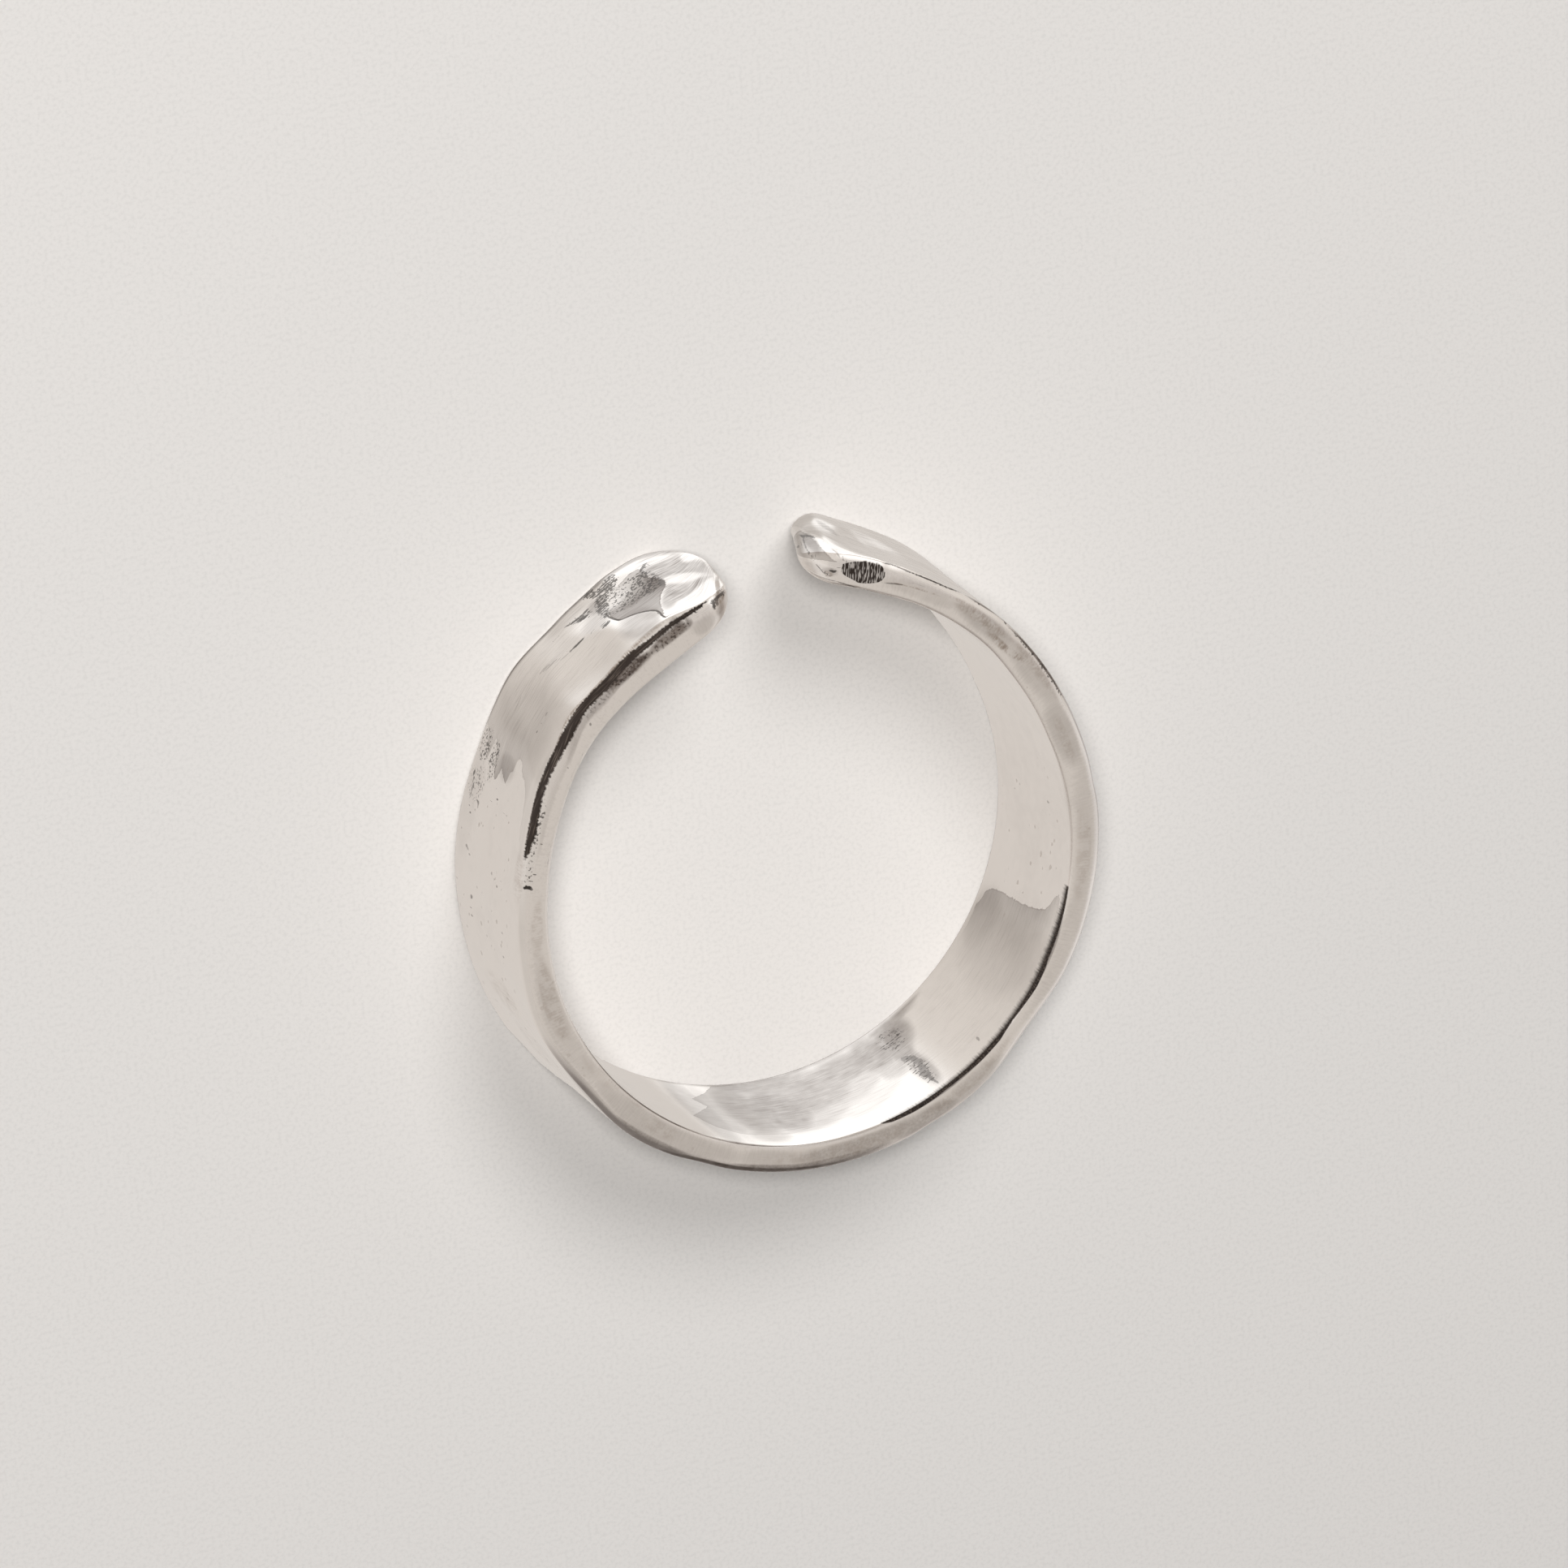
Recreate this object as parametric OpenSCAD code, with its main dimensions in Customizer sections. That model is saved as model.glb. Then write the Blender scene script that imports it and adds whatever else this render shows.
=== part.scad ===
// Open hammered finger ring: one forged strip bent round a finger circle, with a gap between two
// rounded ends. It lies on its side. The finger circle's axis is Z, the back rim lies at z = 0, and
// the middle of the gap is on +Y. Angles run anticlockwise from the middle of the gap.

/* [Finger] */
// Radius of the finger hollow
finger_r = 8.5; // [7:0.25:11]

/* [Band] */
// Width of the band along the finger
band_w = 5.9; // [4.5:0.1:8]
// Wall thickness, as a multiple of the one in the table of sections
wall_scale = 1; // [0.9:0.05:1.5]
// Rounding between the hammered face and the rims
outer_round = 0.36; // [0.1:0.02:0.4]
// Rounding between the rims and the inside
inner_round = 0.24; // [0.1:0.02:0.3]

/* [Ends] */
// Angle of the left end, which stands on the -X side of the gap
left_end = 6.3; // [5:0.1:20]
// How far the left end runs back towards the front rim, for each millimetre of height
left_slant = 0.12; // [0:0.02:0.4]
// Angle of the right end at the middle of its width, measured back from the gap
right_end = 9.3; // [5:0.1:20]
// How far the right end runs ahead towards the front rim, for each millimetre of height
right_slant = 0.28; // [0:0.02:0.4]
// Length over which an end is rounded in thickness
end_round = 0.75; // [0.4:0.05:1.5]

/* [Hammer] */
// Radius of the hammer's crowned face
hammer_r = 18; // [10:1:40]
// Depth of the hammer marks, as a multiple of the depths in the table of marks
mark_scale = 1; // [0:0.1:1.5]

/* [Hidden] */
SILVER = [0.82, 0.80, 0.77];

// Names of the columns of SECTIONS. Heights are above the finger circle, and a negative inside is
// stock that the finger hollow takes off. The arms are sprung open a little near the gap.
ANGLE = 0;
INSIDE = 1;
FRONT = 2;
BACK = 3;
SECTIONS = [
    [0, 0.52, 1.17, 0.99],
    [10, 0.45, 1.24, 1.13],
    [18, 0.24, 1.33, 1.14],
    [27, 0.15, 1.25, 1.07],
    [36, 0.19, 1.19, 0.95],
    [46, 0.25, 1.27, 1.05],
    [54, 0.21, 1.15, 0.94],
    [62, 0.12, 1.00, 0.85],
    [73, 0.04, 0.89, 0.89],
    [83, -0.02, 0.90, 0.94],
    [94, -0.10, 0.96, 0.96],
    [107, -0.10, 1.05, 1.05],
    [122, -0.10, 0.89, 1.17],
    [136, -0.10, 1.00, 1.12],
    [152, -0.10, 0.91, 0.93],
    [176, -0.10, 0.91, 0.92],
    [200, -0.10, 0.89, 0.88],
    [213, -0.10, 0.86, 0.86],
    [225, -0.10, 0.68, 0.78],
    [238, -0.10, 0.85, 0.90],
    [255, -0.10, 0.94, 0.95],
    [272, -0.10, 1.01, 1.00],
    [286, -0.02, 1.02, 1.02],
    [297, 0.06, 1.08, 1.12],
    [305, 0.14, 1.14, 1.22],
    [314, 0.29, 1.23, 1.33],
    [322, 0.37, 1.26, 1.40],
    [330, 0.46, 1.32, 1.39],
    [338, 0.55, 1.50, 1.42],
    [345, 0.73, 1.61, 1.48],
    [352, 0.92, 1.68, 1.28],
    [360, 1.03, 1.70, 1.20],
];

// Names of the columns of END_CORNERS: how far each corner of an end is rounded along the band and
// across it, at the front rim and at the back rim. The rows are the left end and the right end.
FRONT_ALONG = 0;
FRONT_ACROSS = 1;
BACK_ALONG = 2;
BACK_ACROSS = 3;
END_CORNERS = [
    [1.3, 2.0, 1.8, 2.9],
    [1.0, 1.8, 1.5, 1.6],
];

// Names of the columns of MARKS, the hammer marks on the left arm. The height is a part of the
// width, measured from the back rim.
MARK_ANGLE = 0;
MARK_HEIGHT = 1;
MARK_DEPTH = 2;
MARKS = [
    [11, 0.28, 0.07],
    [14, 0.74, 0.08],
    [23, 0.38, 0.11],
    [31, 0.12, 0.05],
    [37, 0.62, 0.07],
    [50, 0.36, 0.09],
    [57, 0.86, 0.05],
    [66, 0.24, 0.06],
    [76, 0.66, 0.06],
    [88, 0.36, 0.05],
    [101, 0.64, 0.06],
    [114, 0.34, 0.07],
];
// Marks of the rule that covers the rest of the band
RULE_START = 124;
RULE_STEP = 9.5;
RULE_COUNT = 24;
RULE_DEPTH = 0.05;
RULE_DEPTH_SPREAD = 0.04;
RULE_DEPTH_TURN = 137;
RULE_EDGE = 0.15;
GOLDEN = 0.618;
// Angle past which no bowl reaches
BOWL_REACH = 25;

// Stretch of each end that has closer rows, and how many it has
TIP_LENGTH = 2.6;
TIP_ROWS = 10;
// Largest angle between the other rows
ROW_STEP = 3;
// Points across the hammered face, across the inside and round each corner
FACE_STEPS = 10;
INSIDE_STEPS = 3;
CORNER_STEPS = 3;
// How far from an end its slant dies out, and how close to the end the first row lies
SLANT_REACH = 4.5;
END_SLIVER = 0.005;
// How far the cutter of the finger hollow stands out of the rims
BORE_OVERRUN = 1;

// Smooth curve through one column of SECTIONS
function row_before(a, i = 0) =
    i + 2 >= len(SECTIONS) || SECTIONS[i + 1][ANGLE] > a ? i : row_before(a, i + 1);
function slope(i, column) =
    let (low = max(i - 1, 0), high = min(i + 1, len(SECTIONS) - 1))
    (SECTIONS[high][column] - SECTIONS[low][column]) / (SECTIONS[high][ANGLE] - SECTIONS[low][ANGLE]);
function along(a, column) =
    let (i = row_before(a),
         step = SECTIONS[i + 1][ANGLE] - SECTIONS[i][ANGLE],
         t = (a - SECTIONS[i][ANGLE]) / step)
    (1 + 2 * t) * (1 - t) * (1 - t) * SECTIONS[i][column]
        + t * (1 - t) * (1 - t) * step * slope(i, column)
        + t * t * (3 - 2 * t) * SECTIONS[i + 1][column]
        + t * t * (t - 1) * step * slope(i + 1, column);

// The strip before the hammer
function inner_face(a) = finger_r + along(a, INSIDE);
function smooth_face(a, z) =
    finger_r + wall_scale * (along(a, BACK) + (along(a, FRONT) - along(a, BACK)) * z / band_w);

// Each mark's bowl as the hammer leaves it: its angle, its height and the radius of its floor
RULE_MARKS = [
    for (i = [0 : RULE_COUNT - 1])
        [RULE_START + RULE_STEP * i,
         RULE_EDGE + (1 - 2 * RULE_EDGE) * (GOLDEN * i - floor(GOLDEN * i)),
         RULE_DEPTH + RULE_DEPTH_SPREAD * sin(RULE_DEPTH_TURN * i)]
];
BOWLS = [
    for (mark = concat(MARKS, RULE_MARKS))
        let (z = mark[MARK_HEIGHT] * band_w)
        [mark[MARK_ANGLE], z, smooth_face(mark[MARK_ANGLE], z) - mark_scale * mark[MARK_DEPTH]]
];

// The hammered face: the smooth strip, or the crowned bowl that reaches lowest there
function bowl_radius(bowl, a, z) =
    let (x = (a - bowl[0]) * PI / 180 * bowl[2], y = z - bowl[1])
    bowl[2] + x * x / (2 * bowl[2]) + (x * x + y * y) / (2 * hammer_r);
function hammered_face(a, z) =
    min(concat([smooth_face(a, z)],
               [for (bowl = BOWLS) if (abs(a - bowl[0]) < BOWL_REACH) bowl_radius(bowl, a, z)]));

// The angle that a length takes up on the finger circle
function to_angle(length) = length * 180 / PI / finger_r;

// Share of full size at a distance s into a rounding of length n
function rounded(s, n) = s >= n ? 1 : sqrt(1 - pow(1 - s / n, 2));

// A rounded corner, as pairs of a distance in from the rim and a depth below the face
RISE = [0 : 90 / CORNER_STEPS : 90];
FALL = [90 : -90 / CORNER_STEPS : 0];
function corner(size, turns) = [for (t = turns) [size * (1 - cos(t)), size * (1 - sin(t))]];
function between(from, to, steps) = [for (k = [1 : steps - 1]) [from + (to - from) * k / steps, 0]];

// One section, at angle a and a distance s from the nearer end, as points round the strip
function section(a, s) =
    let (rounding = END_CORNERS[a < 180 ? 0 : 1],
         low = rounding[BACK_ACROSS] * (1 - rounded(s, rounding[BACK_ALONG])),
         high = band_w - rounding[FRONT_ACROSS] * (1 - rounded(s, rounding[FRONT_ALONG])),
         full = rounded(s, end_round),
         slant = (a < 180 ? left_slant : right_slant) * pow(1 - min(s / SLANT_REACH, 1), 2),
         outer = outer_round * full,
         inner = inner_round * full,
         outside = concat(
             [for (p = corner(outer, RISE)) [low + p[0], p[1]]],
             between(low + outer, high - outer, FACE_STEPS),
             [for (p = corner(outer, FALL)) [high - p[0], p[1]]]),
         inside = concat(
             [for (p = corner(inner, RISE)) [high - p[0], p[1]]],
             between(high - inner, low + inner, INSIDE_STEPS),
             [for (p = corner(inner, FALL)) [low + p[0], p[1]]]))
    concat(
        [for (p = outside) place(a, p[0], true, p[1], full, slant)],
        [for (p = inside) place(a, p[0], false, p[1], full, slant)]);

// A point at height z, sunk below the outside or the inside, where an end draws both faces in
// towards the middle of the wall
function place(a, z, is_outside, sunk, full, slant) =
    let (turned = a + to_angle(slant * (z - band_w / 2)),
         middle = (inner_face(a) + smooth_face(a, z)) / 2,
         r = is_outside
             ? middle + (hammered_face(a, z) - middle) * full - sunk
             : middle + (inner_face(a) - middle) * full + sunk)
    [-r * sin(turned), r * cos(turned), z];

// Rows from the left end to the right end, close together where the ends are rounded
function tip_distance(k) = max(END_SLIVER, TIP_LENGTH * (1 - cos(90 * k / TIP_ROWS)));
MIDDLE_START = left_end + to_angle(TIP_LENGTH);
RIGHT_END_ANGLE = 360 - right_end;
MIDDLE_END = RIGHT_END_ANGLE - to_angle(TIP_LENGTH);
MIDDLE_ROWS = ceil((MIDDLE_END - MIDDLE_START) / ROW_STEP);
ROWS = concat(
    [for (k = [0 : TIP_ROWS]) section(left_end + to_angle(tip_distance(k)), tip_distance(k))],
    [for (k = [1 : MIDDLE_ROWS - 1])
        let (a = MIDDLE_START + (MIDDLE_END - MIDDLE_START) * k / MIDDLE_ROWS)
        section(a, finger_r * PI / 180 * min(a - left_end, RIGHT_END_ANGLE - a))],
    [for (k = [TIP_ROWS : -1 : 0])
        section(RIGHT_END_ANGLE - to_angle(tip_distance(k)), tip_distance(k))]);

// Skin between the rows, closed by a fan on each end
function mean(points, i = 0) =
    i == len(points) ? [0, 0, 0] : points[i] / len(points) + mean(points, i + 1);
module strip() {
    last = len(ROWS) - 1;
    n = len(ROWS[0]);
    points = concat([for (row = ROWS) each row], [mean(ROWS[0]), mean(ROWS[last])]);
    left_middle = n * (last + 1);
    right_middle = left_middle + 1;
    faces = concat(
        [for (i = [0 : last - 1], j = [0 : n - 1]) let (k = (j + 1) % n)
            [n * i + j, n * i + k, n * (i + 1) + j]],
        [for (i = [0 : last - 1], j = [0 : n - 1]) let (k = (j + 1) % n)
            [n * i + k, n * (i + 1) + k, n * (i + 1) + j]],
        [for (j = [0 : n - 1]) [left_middle, (j + 1) % n, j]],
        [for (j = [0 : n - 1]) [right_middle, n * last + j, n * last + (j + 1) % n]]);
    polyhedron(points, faces, convexity = 6);
}

// The finger hollow is an exact round wall where the strip is not sprung open
module finger_hollow() {
    translate([0, 0, -BORE_OVERRUN])
        cylinder(r = finger_r, h = band_w + 2 * BORE_OVERRUN, $fn = 128);
}

module band() {
    color(SILVER)
        difference() {
            strip();
            finger_hollow();
        }
}

band();
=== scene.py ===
"""Looks of the open hammered ring: its silver, its hammer marks and wear, the shade and dark reflections
painted into its colour, and the studio round it.

The band stands in for the CAD node of the same name and keeps its size and place. Its axis is Z, the
back rim lies on the floor at z = 0, and the middle of the gap is on +Y. Angles run anticlockwise from
the middle of the gap, in degrees. Tables are in degrees and millimetres.
"""

import math

import bmesh
import bpy
import numpy as np
from bpy.props import FloatProperty, FloatVectorProperty, IntProperty, PointerProperty
from mathutils import Matrix, Vector


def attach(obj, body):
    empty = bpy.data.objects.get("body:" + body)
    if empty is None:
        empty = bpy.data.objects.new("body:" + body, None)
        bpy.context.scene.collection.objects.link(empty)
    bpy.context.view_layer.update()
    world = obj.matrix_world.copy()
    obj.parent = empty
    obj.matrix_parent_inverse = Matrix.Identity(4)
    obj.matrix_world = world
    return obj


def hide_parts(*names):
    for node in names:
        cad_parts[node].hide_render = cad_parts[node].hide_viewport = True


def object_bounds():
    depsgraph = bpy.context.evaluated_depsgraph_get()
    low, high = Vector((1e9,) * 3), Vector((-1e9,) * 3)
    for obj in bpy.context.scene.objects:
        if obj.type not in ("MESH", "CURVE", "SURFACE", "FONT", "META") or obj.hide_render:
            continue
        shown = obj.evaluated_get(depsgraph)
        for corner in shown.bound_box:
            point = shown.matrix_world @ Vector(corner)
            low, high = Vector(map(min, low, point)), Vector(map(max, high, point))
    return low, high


bl_info = {
    "name": "Hammered Ring",
    "version": (1, 0, 0),
    "blender": (4, 5, 0),
    "location": "3D View > Sidebar > Ring",
    "description": "An open hammered silver ring and the studio it is shown in",
    "category": "Add Mesh",
}

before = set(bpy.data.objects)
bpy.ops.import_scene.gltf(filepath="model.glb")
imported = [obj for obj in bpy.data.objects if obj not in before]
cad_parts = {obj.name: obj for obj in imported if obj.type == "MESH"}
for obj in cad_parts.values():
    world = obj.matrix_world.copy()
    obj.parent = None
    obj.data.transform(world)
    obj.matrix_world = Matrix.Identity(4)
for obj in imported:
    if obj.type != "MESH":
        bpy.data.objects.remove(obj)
CAD_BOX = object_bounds()

MM = 0.001
BAND = "band"
SILVER = "silver"
UV = "UVMap"

# Names of the columns of SECTIONS: the angle, and heights above the finger circle of the inside and, at
# the front and the back rim, of the outside. The arms are sprung open a little near the gap.
ANGLE = 0
INSIDE = 1
FRONT = 2
BACK = 3
SECTIONS = [
    [0, 0.52, 1.17, 0.99],
    [10, 0.45, 1.24, 1.13],
    [18, 0.24, 1.33, 1.14],
    [27, 0.15, 1.25, 1.07],
    [36, 0.19, 1.19, 0.95],
    [46, 0.25, 1.27, 1.05],
    [54, 0.21, 1.15, 0.94],
    [62, 0.12, 1.00, 0.85],
    [73, 0.04, 0.89, 0.89],
    [83, -0.02, 0.90, 0.94],
    [94, -0.10, 0.96, 0.96],
    [107, -0.10, 1.05, 1.05],
    [122, -0.10, 0.89, 1.17],
    [136, -0.10, 1.00, 1.12],
    [152, -0.10, 0.91, 0.93],
    [176, -0.10, 0.91, 0.92],
    [200, -0.10, 0.89, 0.88],
    [213, -0.10, 0.86, 0.86],
    [225, -0.10, 0.68, 0.78],
    [238, -0.10, 0.85, 0.90],
    [255, -0.10, 0.94, 0.95],
    [272, -0.10, 1.01, 1.00],
    [286, -0.02, 1.02, 1.02],
    [297, 0.06, 1.08, 1.12],
    [305, 0.14, 1.14, 1.22],
    [314, 0.29, 1.23, 1.33],
    [322, 0.37, 1.26, 1.40],
    [330, 0.46, 1.32, 1.39],
    [338, 0.55, 1.50, 1.42],
    [345, 0.73, 1.61, 1.48],
    [352, 0.92, 1.68, 1.28],
    [360, 1.03, 1.70, 1.20],
]

# Names of the columns of BEVELS, after the angle: how wide the bevel between the hammered face and the
# front rim is, and the share of it that the steep slope under its crisp edge takes
BEVEL_WIDTH = 1
BEVEL_STEEP = 2
BEVELS = [
    [0, 0.26, 0.50],
    [10, 0.30, 0.55],
    [18, 0.42, 0.70],
    [30, 0.50, 0.76],
    [38, 0.46, 0.62],
    [46, 0.40, 0.40],
    [55, 0.36, 0.24],
    [74, 0.32, 0.24],
    [86, 0.26, 0.40],
    [104, 0.24, 0.50],
    [180, 0.24, 0.50],
    [300, 0.22, 0.50],
    [330, 0.26, 0.50],
    [338, 0.36, 0.50],
    [345, 0.46, 0.50],
    [352, 0.40, 0.50],
    [360, 0.30, 0.50],
]

# Names of the columns of END_CORNERS: how far each corner of an end is rounded along the band and
# across it, at the front rim and at the back rim. The rows are the left end and the right end.
FRONT_ALONG = 0
FRONT_ACROSS = 1
BACK_ALONG = 2
BACK_ACROSS = 3
END_CORNERS = [
    [1.3, 2.0, 1.8, 2.9],
    [1.0, 1.8, 1.5, 1.6],
]
# How far each end is from the middle of the gap, and how far it slants along the band for each
# millimetre of height. Then how far along the band the slant reaches and the ends grow thin.
LEFT_END = 6.3
LEFT_SLANT = 0.12
RIGHT_END = 9.3
RIGHT_SLANT = 0.28
SLANT_REACH = 4.5
END_ROUND = 0.75

# Hammer marks on the left arm: angle, height as a part of the width, and depth
MARKS = [
    [11, 0.28, 0.07],
    [14, 0.74, 0.08],
    [23, 0.38, 0.11],
    [31, 0.12, 0.05],
    [37, 0.62, 0.07],
    [50, 0.36, 0.09],
    [57, 0.86, 0.05],
    [66, 0.24, 0.06],
    [76, 0.66, 0.06],
    [88, 0.36, 0.05],
    [101, 0.64, 0.06],
    [114, 0.34, 0.07],
]
# Marks of the rule that covers the rest of the band: angle of the first, step to the next, how many,
# their depth, how much it varies and by what turn, and the part of the width that they leave free at
# each rim. Each lies a golden share of the rest further up the band than the one before.
RULE_START = 124
RULE_STEP = 9.5
RULE_COUNT = 24
RULE_DEPTH = 0.05
RULE_DEPTH_SPREAD = 0.04
RULE_DEPTH_TURN = 137
RULE_EDGE = 0.15
GOLDEN = 0.618

# The right end's top is two planes that meet in a ridge. The ridge runs between two points, each an
# angle and a height, and the plane beyond it falls away at a slope. Its top is a little round.
RIDGE = [[347.6, 3.3], [339.6, 5.4]]
RIDGE_SLOPE = 0.27
RIDGE_ROUND = 0.05
# The flat that a tool left on the right end's front bevel: angle and lap of its middle, its half
# lengths along and across the band, its depth, and how far below it the metal still gives way
FLAT_ANGLE = 341.5
FLAT_LAP = 1.2
FLAT_ALONG = 0.64
FLAT_ACROSS = 0.34
FLAT_DEPTH = 0.06
FLAT_REACH = 0.3

# Share of the bevel's length that its crisp edge takes, and how far the steep slope turns
BEVEL_CRISP = 0.07
BEVEL_TURN = math.radians(24)
# The mesh: length of its finer part at each end and how far from the end that starts, its rows there
# and between, and the points across each part of a section
TIP_LENGTH = 2.6
END_SLIVER = 0.001
TIP_ROWS = 50
MIDDLE_ROWS = 440
FACE_STEPS = 60
BEVEL_STEPS = 20
CORNER_STEPS = 8
FRONT_RIM_STEPS = 8
BACK_RIM_STEPS = 4
WALL_STEPS = 26

# Faces of the band in the order that the UV map and the laps take them. A lap is 0 to 1 up the outer
# face from the back rim, 1 to 2 across the front rim, 2 to 3 down the inner wall and 3 to 4 across the
# back rim. The tables of the finish chart the band by angle and lap.
FACES = 4
# Laps of the back rim that are told as less than 0, so that a face's tables run on round its corner
BELOW_START = 0.3
# Length of a degree along the band, and of a lap across a face and across a rim
MM_PER_DEGREE = 0.16
MM_PER_LAP = 6.0
RIM_MM_PER_LAP = 1.6

# Column of the strength in the tables of oval spots
STRENGTH = 4
# Painted shade: soft darker patches painted into the silver's colour where its reflections are darker:
# angle and lap of the middle, half lengths in angle and lap, and the share of the light that they take
# away. A last number, where there is one, is how many laps they rise by for each degree.
SHADES = [
    [12.6, 0.36, 7.2, 0.37, 0.47],
    [17.4, 0.655, 3.0, 0.11, 0.46, 0.03],
    [13.4, 0.640, 6.6, 0.075, 0.50, 0.010],
    [13.0, 0.320, 4.6, 0.080, 0.54, 0.012],
    [16.5, 0.055, 10.5, 0.040, 0.50],
    [25.0, 0.045, 3.5, 0.045, 0.62],
    [24.8, 0.720, 4.8, 0.230, 0.42],
    [29.5, 0.370, 4.2, 0.120, 0.26],
    [27.5, 0.240, 2.6, 0.100, 0.42],
    [33.0, 0.110, 6.0, 0.060, 0.12],
    [36.0, 0.040, 26.0, 0.034, 0.78],
    [51.5, 0.450, 8.0, 0.420, 0.12],
    [61.0, 0.440, 3.2, 0.130, 0.24],
    [64.0, 0.830, 14.0, 0.035, 0.08],
    [72.0, 0.120, 12.0, 0.120, 0.06],
    [22.6, 1.170, 6.0, 0.250, 0.72, -0.008],
    [17.8, 1.110, 0.7, 0.210, 0.62],
    [20.0, 1.120, 2.0, 0.270, 0.76],
    [32.8, 1.080, 7.4, 0.220, 0.90, -0.014],
    [38.0, 1.070, 9.0, 0.170, 0.42],
    [46.0, 1.070, 10.0, 0.140, 0.30],
    [60.0, 1.060, 16.0, 0.100, 0.14],
    [9.4, 1.060, 2.6, 0.180, 0.30],
    [8.8, 0.840, 2.1, 0.090, 0.66, 0.110],
    [8.0, 1.500, 2.5, 0.500, 0.16],
    [15.0, 1.500, 3.5, 0.420, 0.20],
    [108.0, 1.500, 20.0, 0.450, 0.13],
    [141.0, 1.500, 24.0, 0.500, 0.23],
    [129.0, 0.900, 15.0, 0.150, 0.45],
    [122.0, 1.080, 13.0, 0.140, 0.18],
    [139.5, 1.060, 11.0, 0.320, 0.52],
    [164.0, 0.900, 32.0, 0.180, 0.80],
    [167.0, 1.120, 11.0, 0.240, 0.54],
    [180.0, 1.160, 13.0, 0.320, 0.54],
    [186.0, 1.500, 20.0, 0.420, 0.37],
    [199.0, 1.300, 10.0, 0.550, 0.40],
    [210.0, 1.300, 10.0, 0.550, 0.25],
    [245.0, 1.450, 24.0, 0.500, 0.13],
    [270.0, 1.300, 18.0, 0.600, 0.14],
    [288.0, 1.500, 10.0, 0.500, 0.23],
    [303.0, 1.400, 12.0, 0.450, 0.22],
    [317.0, 1.400, 10.0, 0.450, 0.28],
    [331.0, 1.400, 9.0, 0.450, 0.15],
    [225.0, 0.840, 60.0, 0.160, 0.45],
    [275.0, 0.840, 50.0, 0.130, 0.50],
    [303.0, 0.925, 11.0, 0.050, 0.80],
    [319.0, 0.860, 4.6, 0.060, 0.75],
    [157.0, 2.500, 5.0, 0.550, 0.42],
    [161.0, 2.500, 4.0, 0.420, 0.25],
    [168.0, 2.520, 7.5, 0.360, 0.45],
    [167.0, 2.220, 6.0, 0.080, 0.30],
    [175.0, 2.500, 8.0, 0.320, 0.56],
    [184.0, 2.620, 12.0, 0.300, 0.48],
    [176.0, 2.820, 12.0, 0.120, 0.50],
    [182.0, 2.380, 12.0, 0.150, 0.30, 0.010],
    [193.0, 2.700, 10.0, 0.180, 0.50],
    [192.0, 2.500, 10.0, 0.150, 0.30, 0.008],
    [193.0, 2.340, 10.0, 0.110, 0.12, 0.008],
    [200.0, 2.680, 6.0, 0.220, 0.56],
    [201.0, 2.500, 4.5, 0.140, 0.36],
    [205.6, 2.700, 6.4, 0.210, 0.55, 0.008],
    [205.8, 2.700, 3.2, 0.100, 0.66, 0.010],
    [204.8, 2.590, 3.4, 0.170, 0.52],
    [205.2, 2.370, 2.6, 0.250, 0.46],
    [209.0, 2.825, 9.0, 0.040, 0.52],
    [233.0, 2.500, 10.0, 0.420, 0.10],
    [237.0, 2.730, 9.0, 0.160, 0.18],
    [268.0, 2.500, 26.0, 0.420, 0.03],
    [182.0, 2.930, 42.0, 0.120, 0.60],
    [245.0, 2.950, 45.0, 0.090, 0.30],
    [132.0, 2.050, 26.0, 0.060, 0.85],
    [159.0, 2.050, 14.0, 0.060, 0.70],
    [165.0, 1.500, 9.0, 0.420, 0.20],
    [180.0, 2.030, 16.0, 0.070, 0.30],
    [206.0, 1.980, 15.0, 0.140, 0.62],
    [241.0, 1.980, 9.0, 0.110, 0.55],
    [275.0, 2.050, 22.0, 0.080, 0.20],
    [348.55, 0.680, 1.25, 0.230, 0.50, -0.10],
    [346.6, 1.180, 1.4, 0.150, 0.30],
    [348.6, 1.150, 1.5, 0.200, 0.16],
    [344.0, 1.960, 3.0, 0.110, 0.18],
    [344.0, 0.355, 1.7, 0.110, 0.46, -0.070],
]

# Places within those painted shades that are left out of them, so that the bright reflection shows,
# laid out in the same way
LIT = [
    [12.9, 0.487, 4.2, 0.100, 1.0, -0.010],
    [9.2, 0.135, 1.8, 0.110, 0.95, 0.050],
    [14.8, 0.155, 4.6, 0.055, 0.9, 0.010],
    [11.6, 0.740, 4.2, 0.060, 0.8, 0.012],
    [20.3, 0.840, 2.0, 0.060, 0.8],
]

# Painted shade with crisp edges: darker patches painted where the silver's reflections are darker. The
# rows of a patch give the lap, the first and the last angle, and the share of the light that it takes
# away at each of the two.
BOWL = [
    [0.175, 17.8, 19.8, 0.45, 0.45],
    [0.200, 17.3, 21.8, 0.38, 0.35],
    [0.235, 17.4, 23.8, 0.40, 0.15],
    [0.270, 17.5, 25.4, 0.46, 0.02],
    [0.310, 17.3, 26.2, 0.58, 0.00],
    [0.360, 16.5, 26.9, 0.72, 0.10],
    [0.410, 16.0, 27.4, 0.72, 0.55],
    [0.450, 15.8, 27.5, 0.72, 0.68],
    [0.500, 16.2, 27.3, 0.70, 0.69],
    [0.535, 17.2, 26.8, 0.66, 0.69],
    [0.560, 18.0, 25.2, 0.62, 0.68],
    [0.600, 18.7, 23.2, 0.60, 0.66],
    [0.650, 19.4, 21.9, 0.55, 0.62],
    [0.720, 19.9, 21.2, 0.48, 0.60],
    [0.800, 20.6, 21.2, 0.48, 0.60],
    [0.845, 21.0, 21.1, 0.48, 0.60],
]
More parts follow.
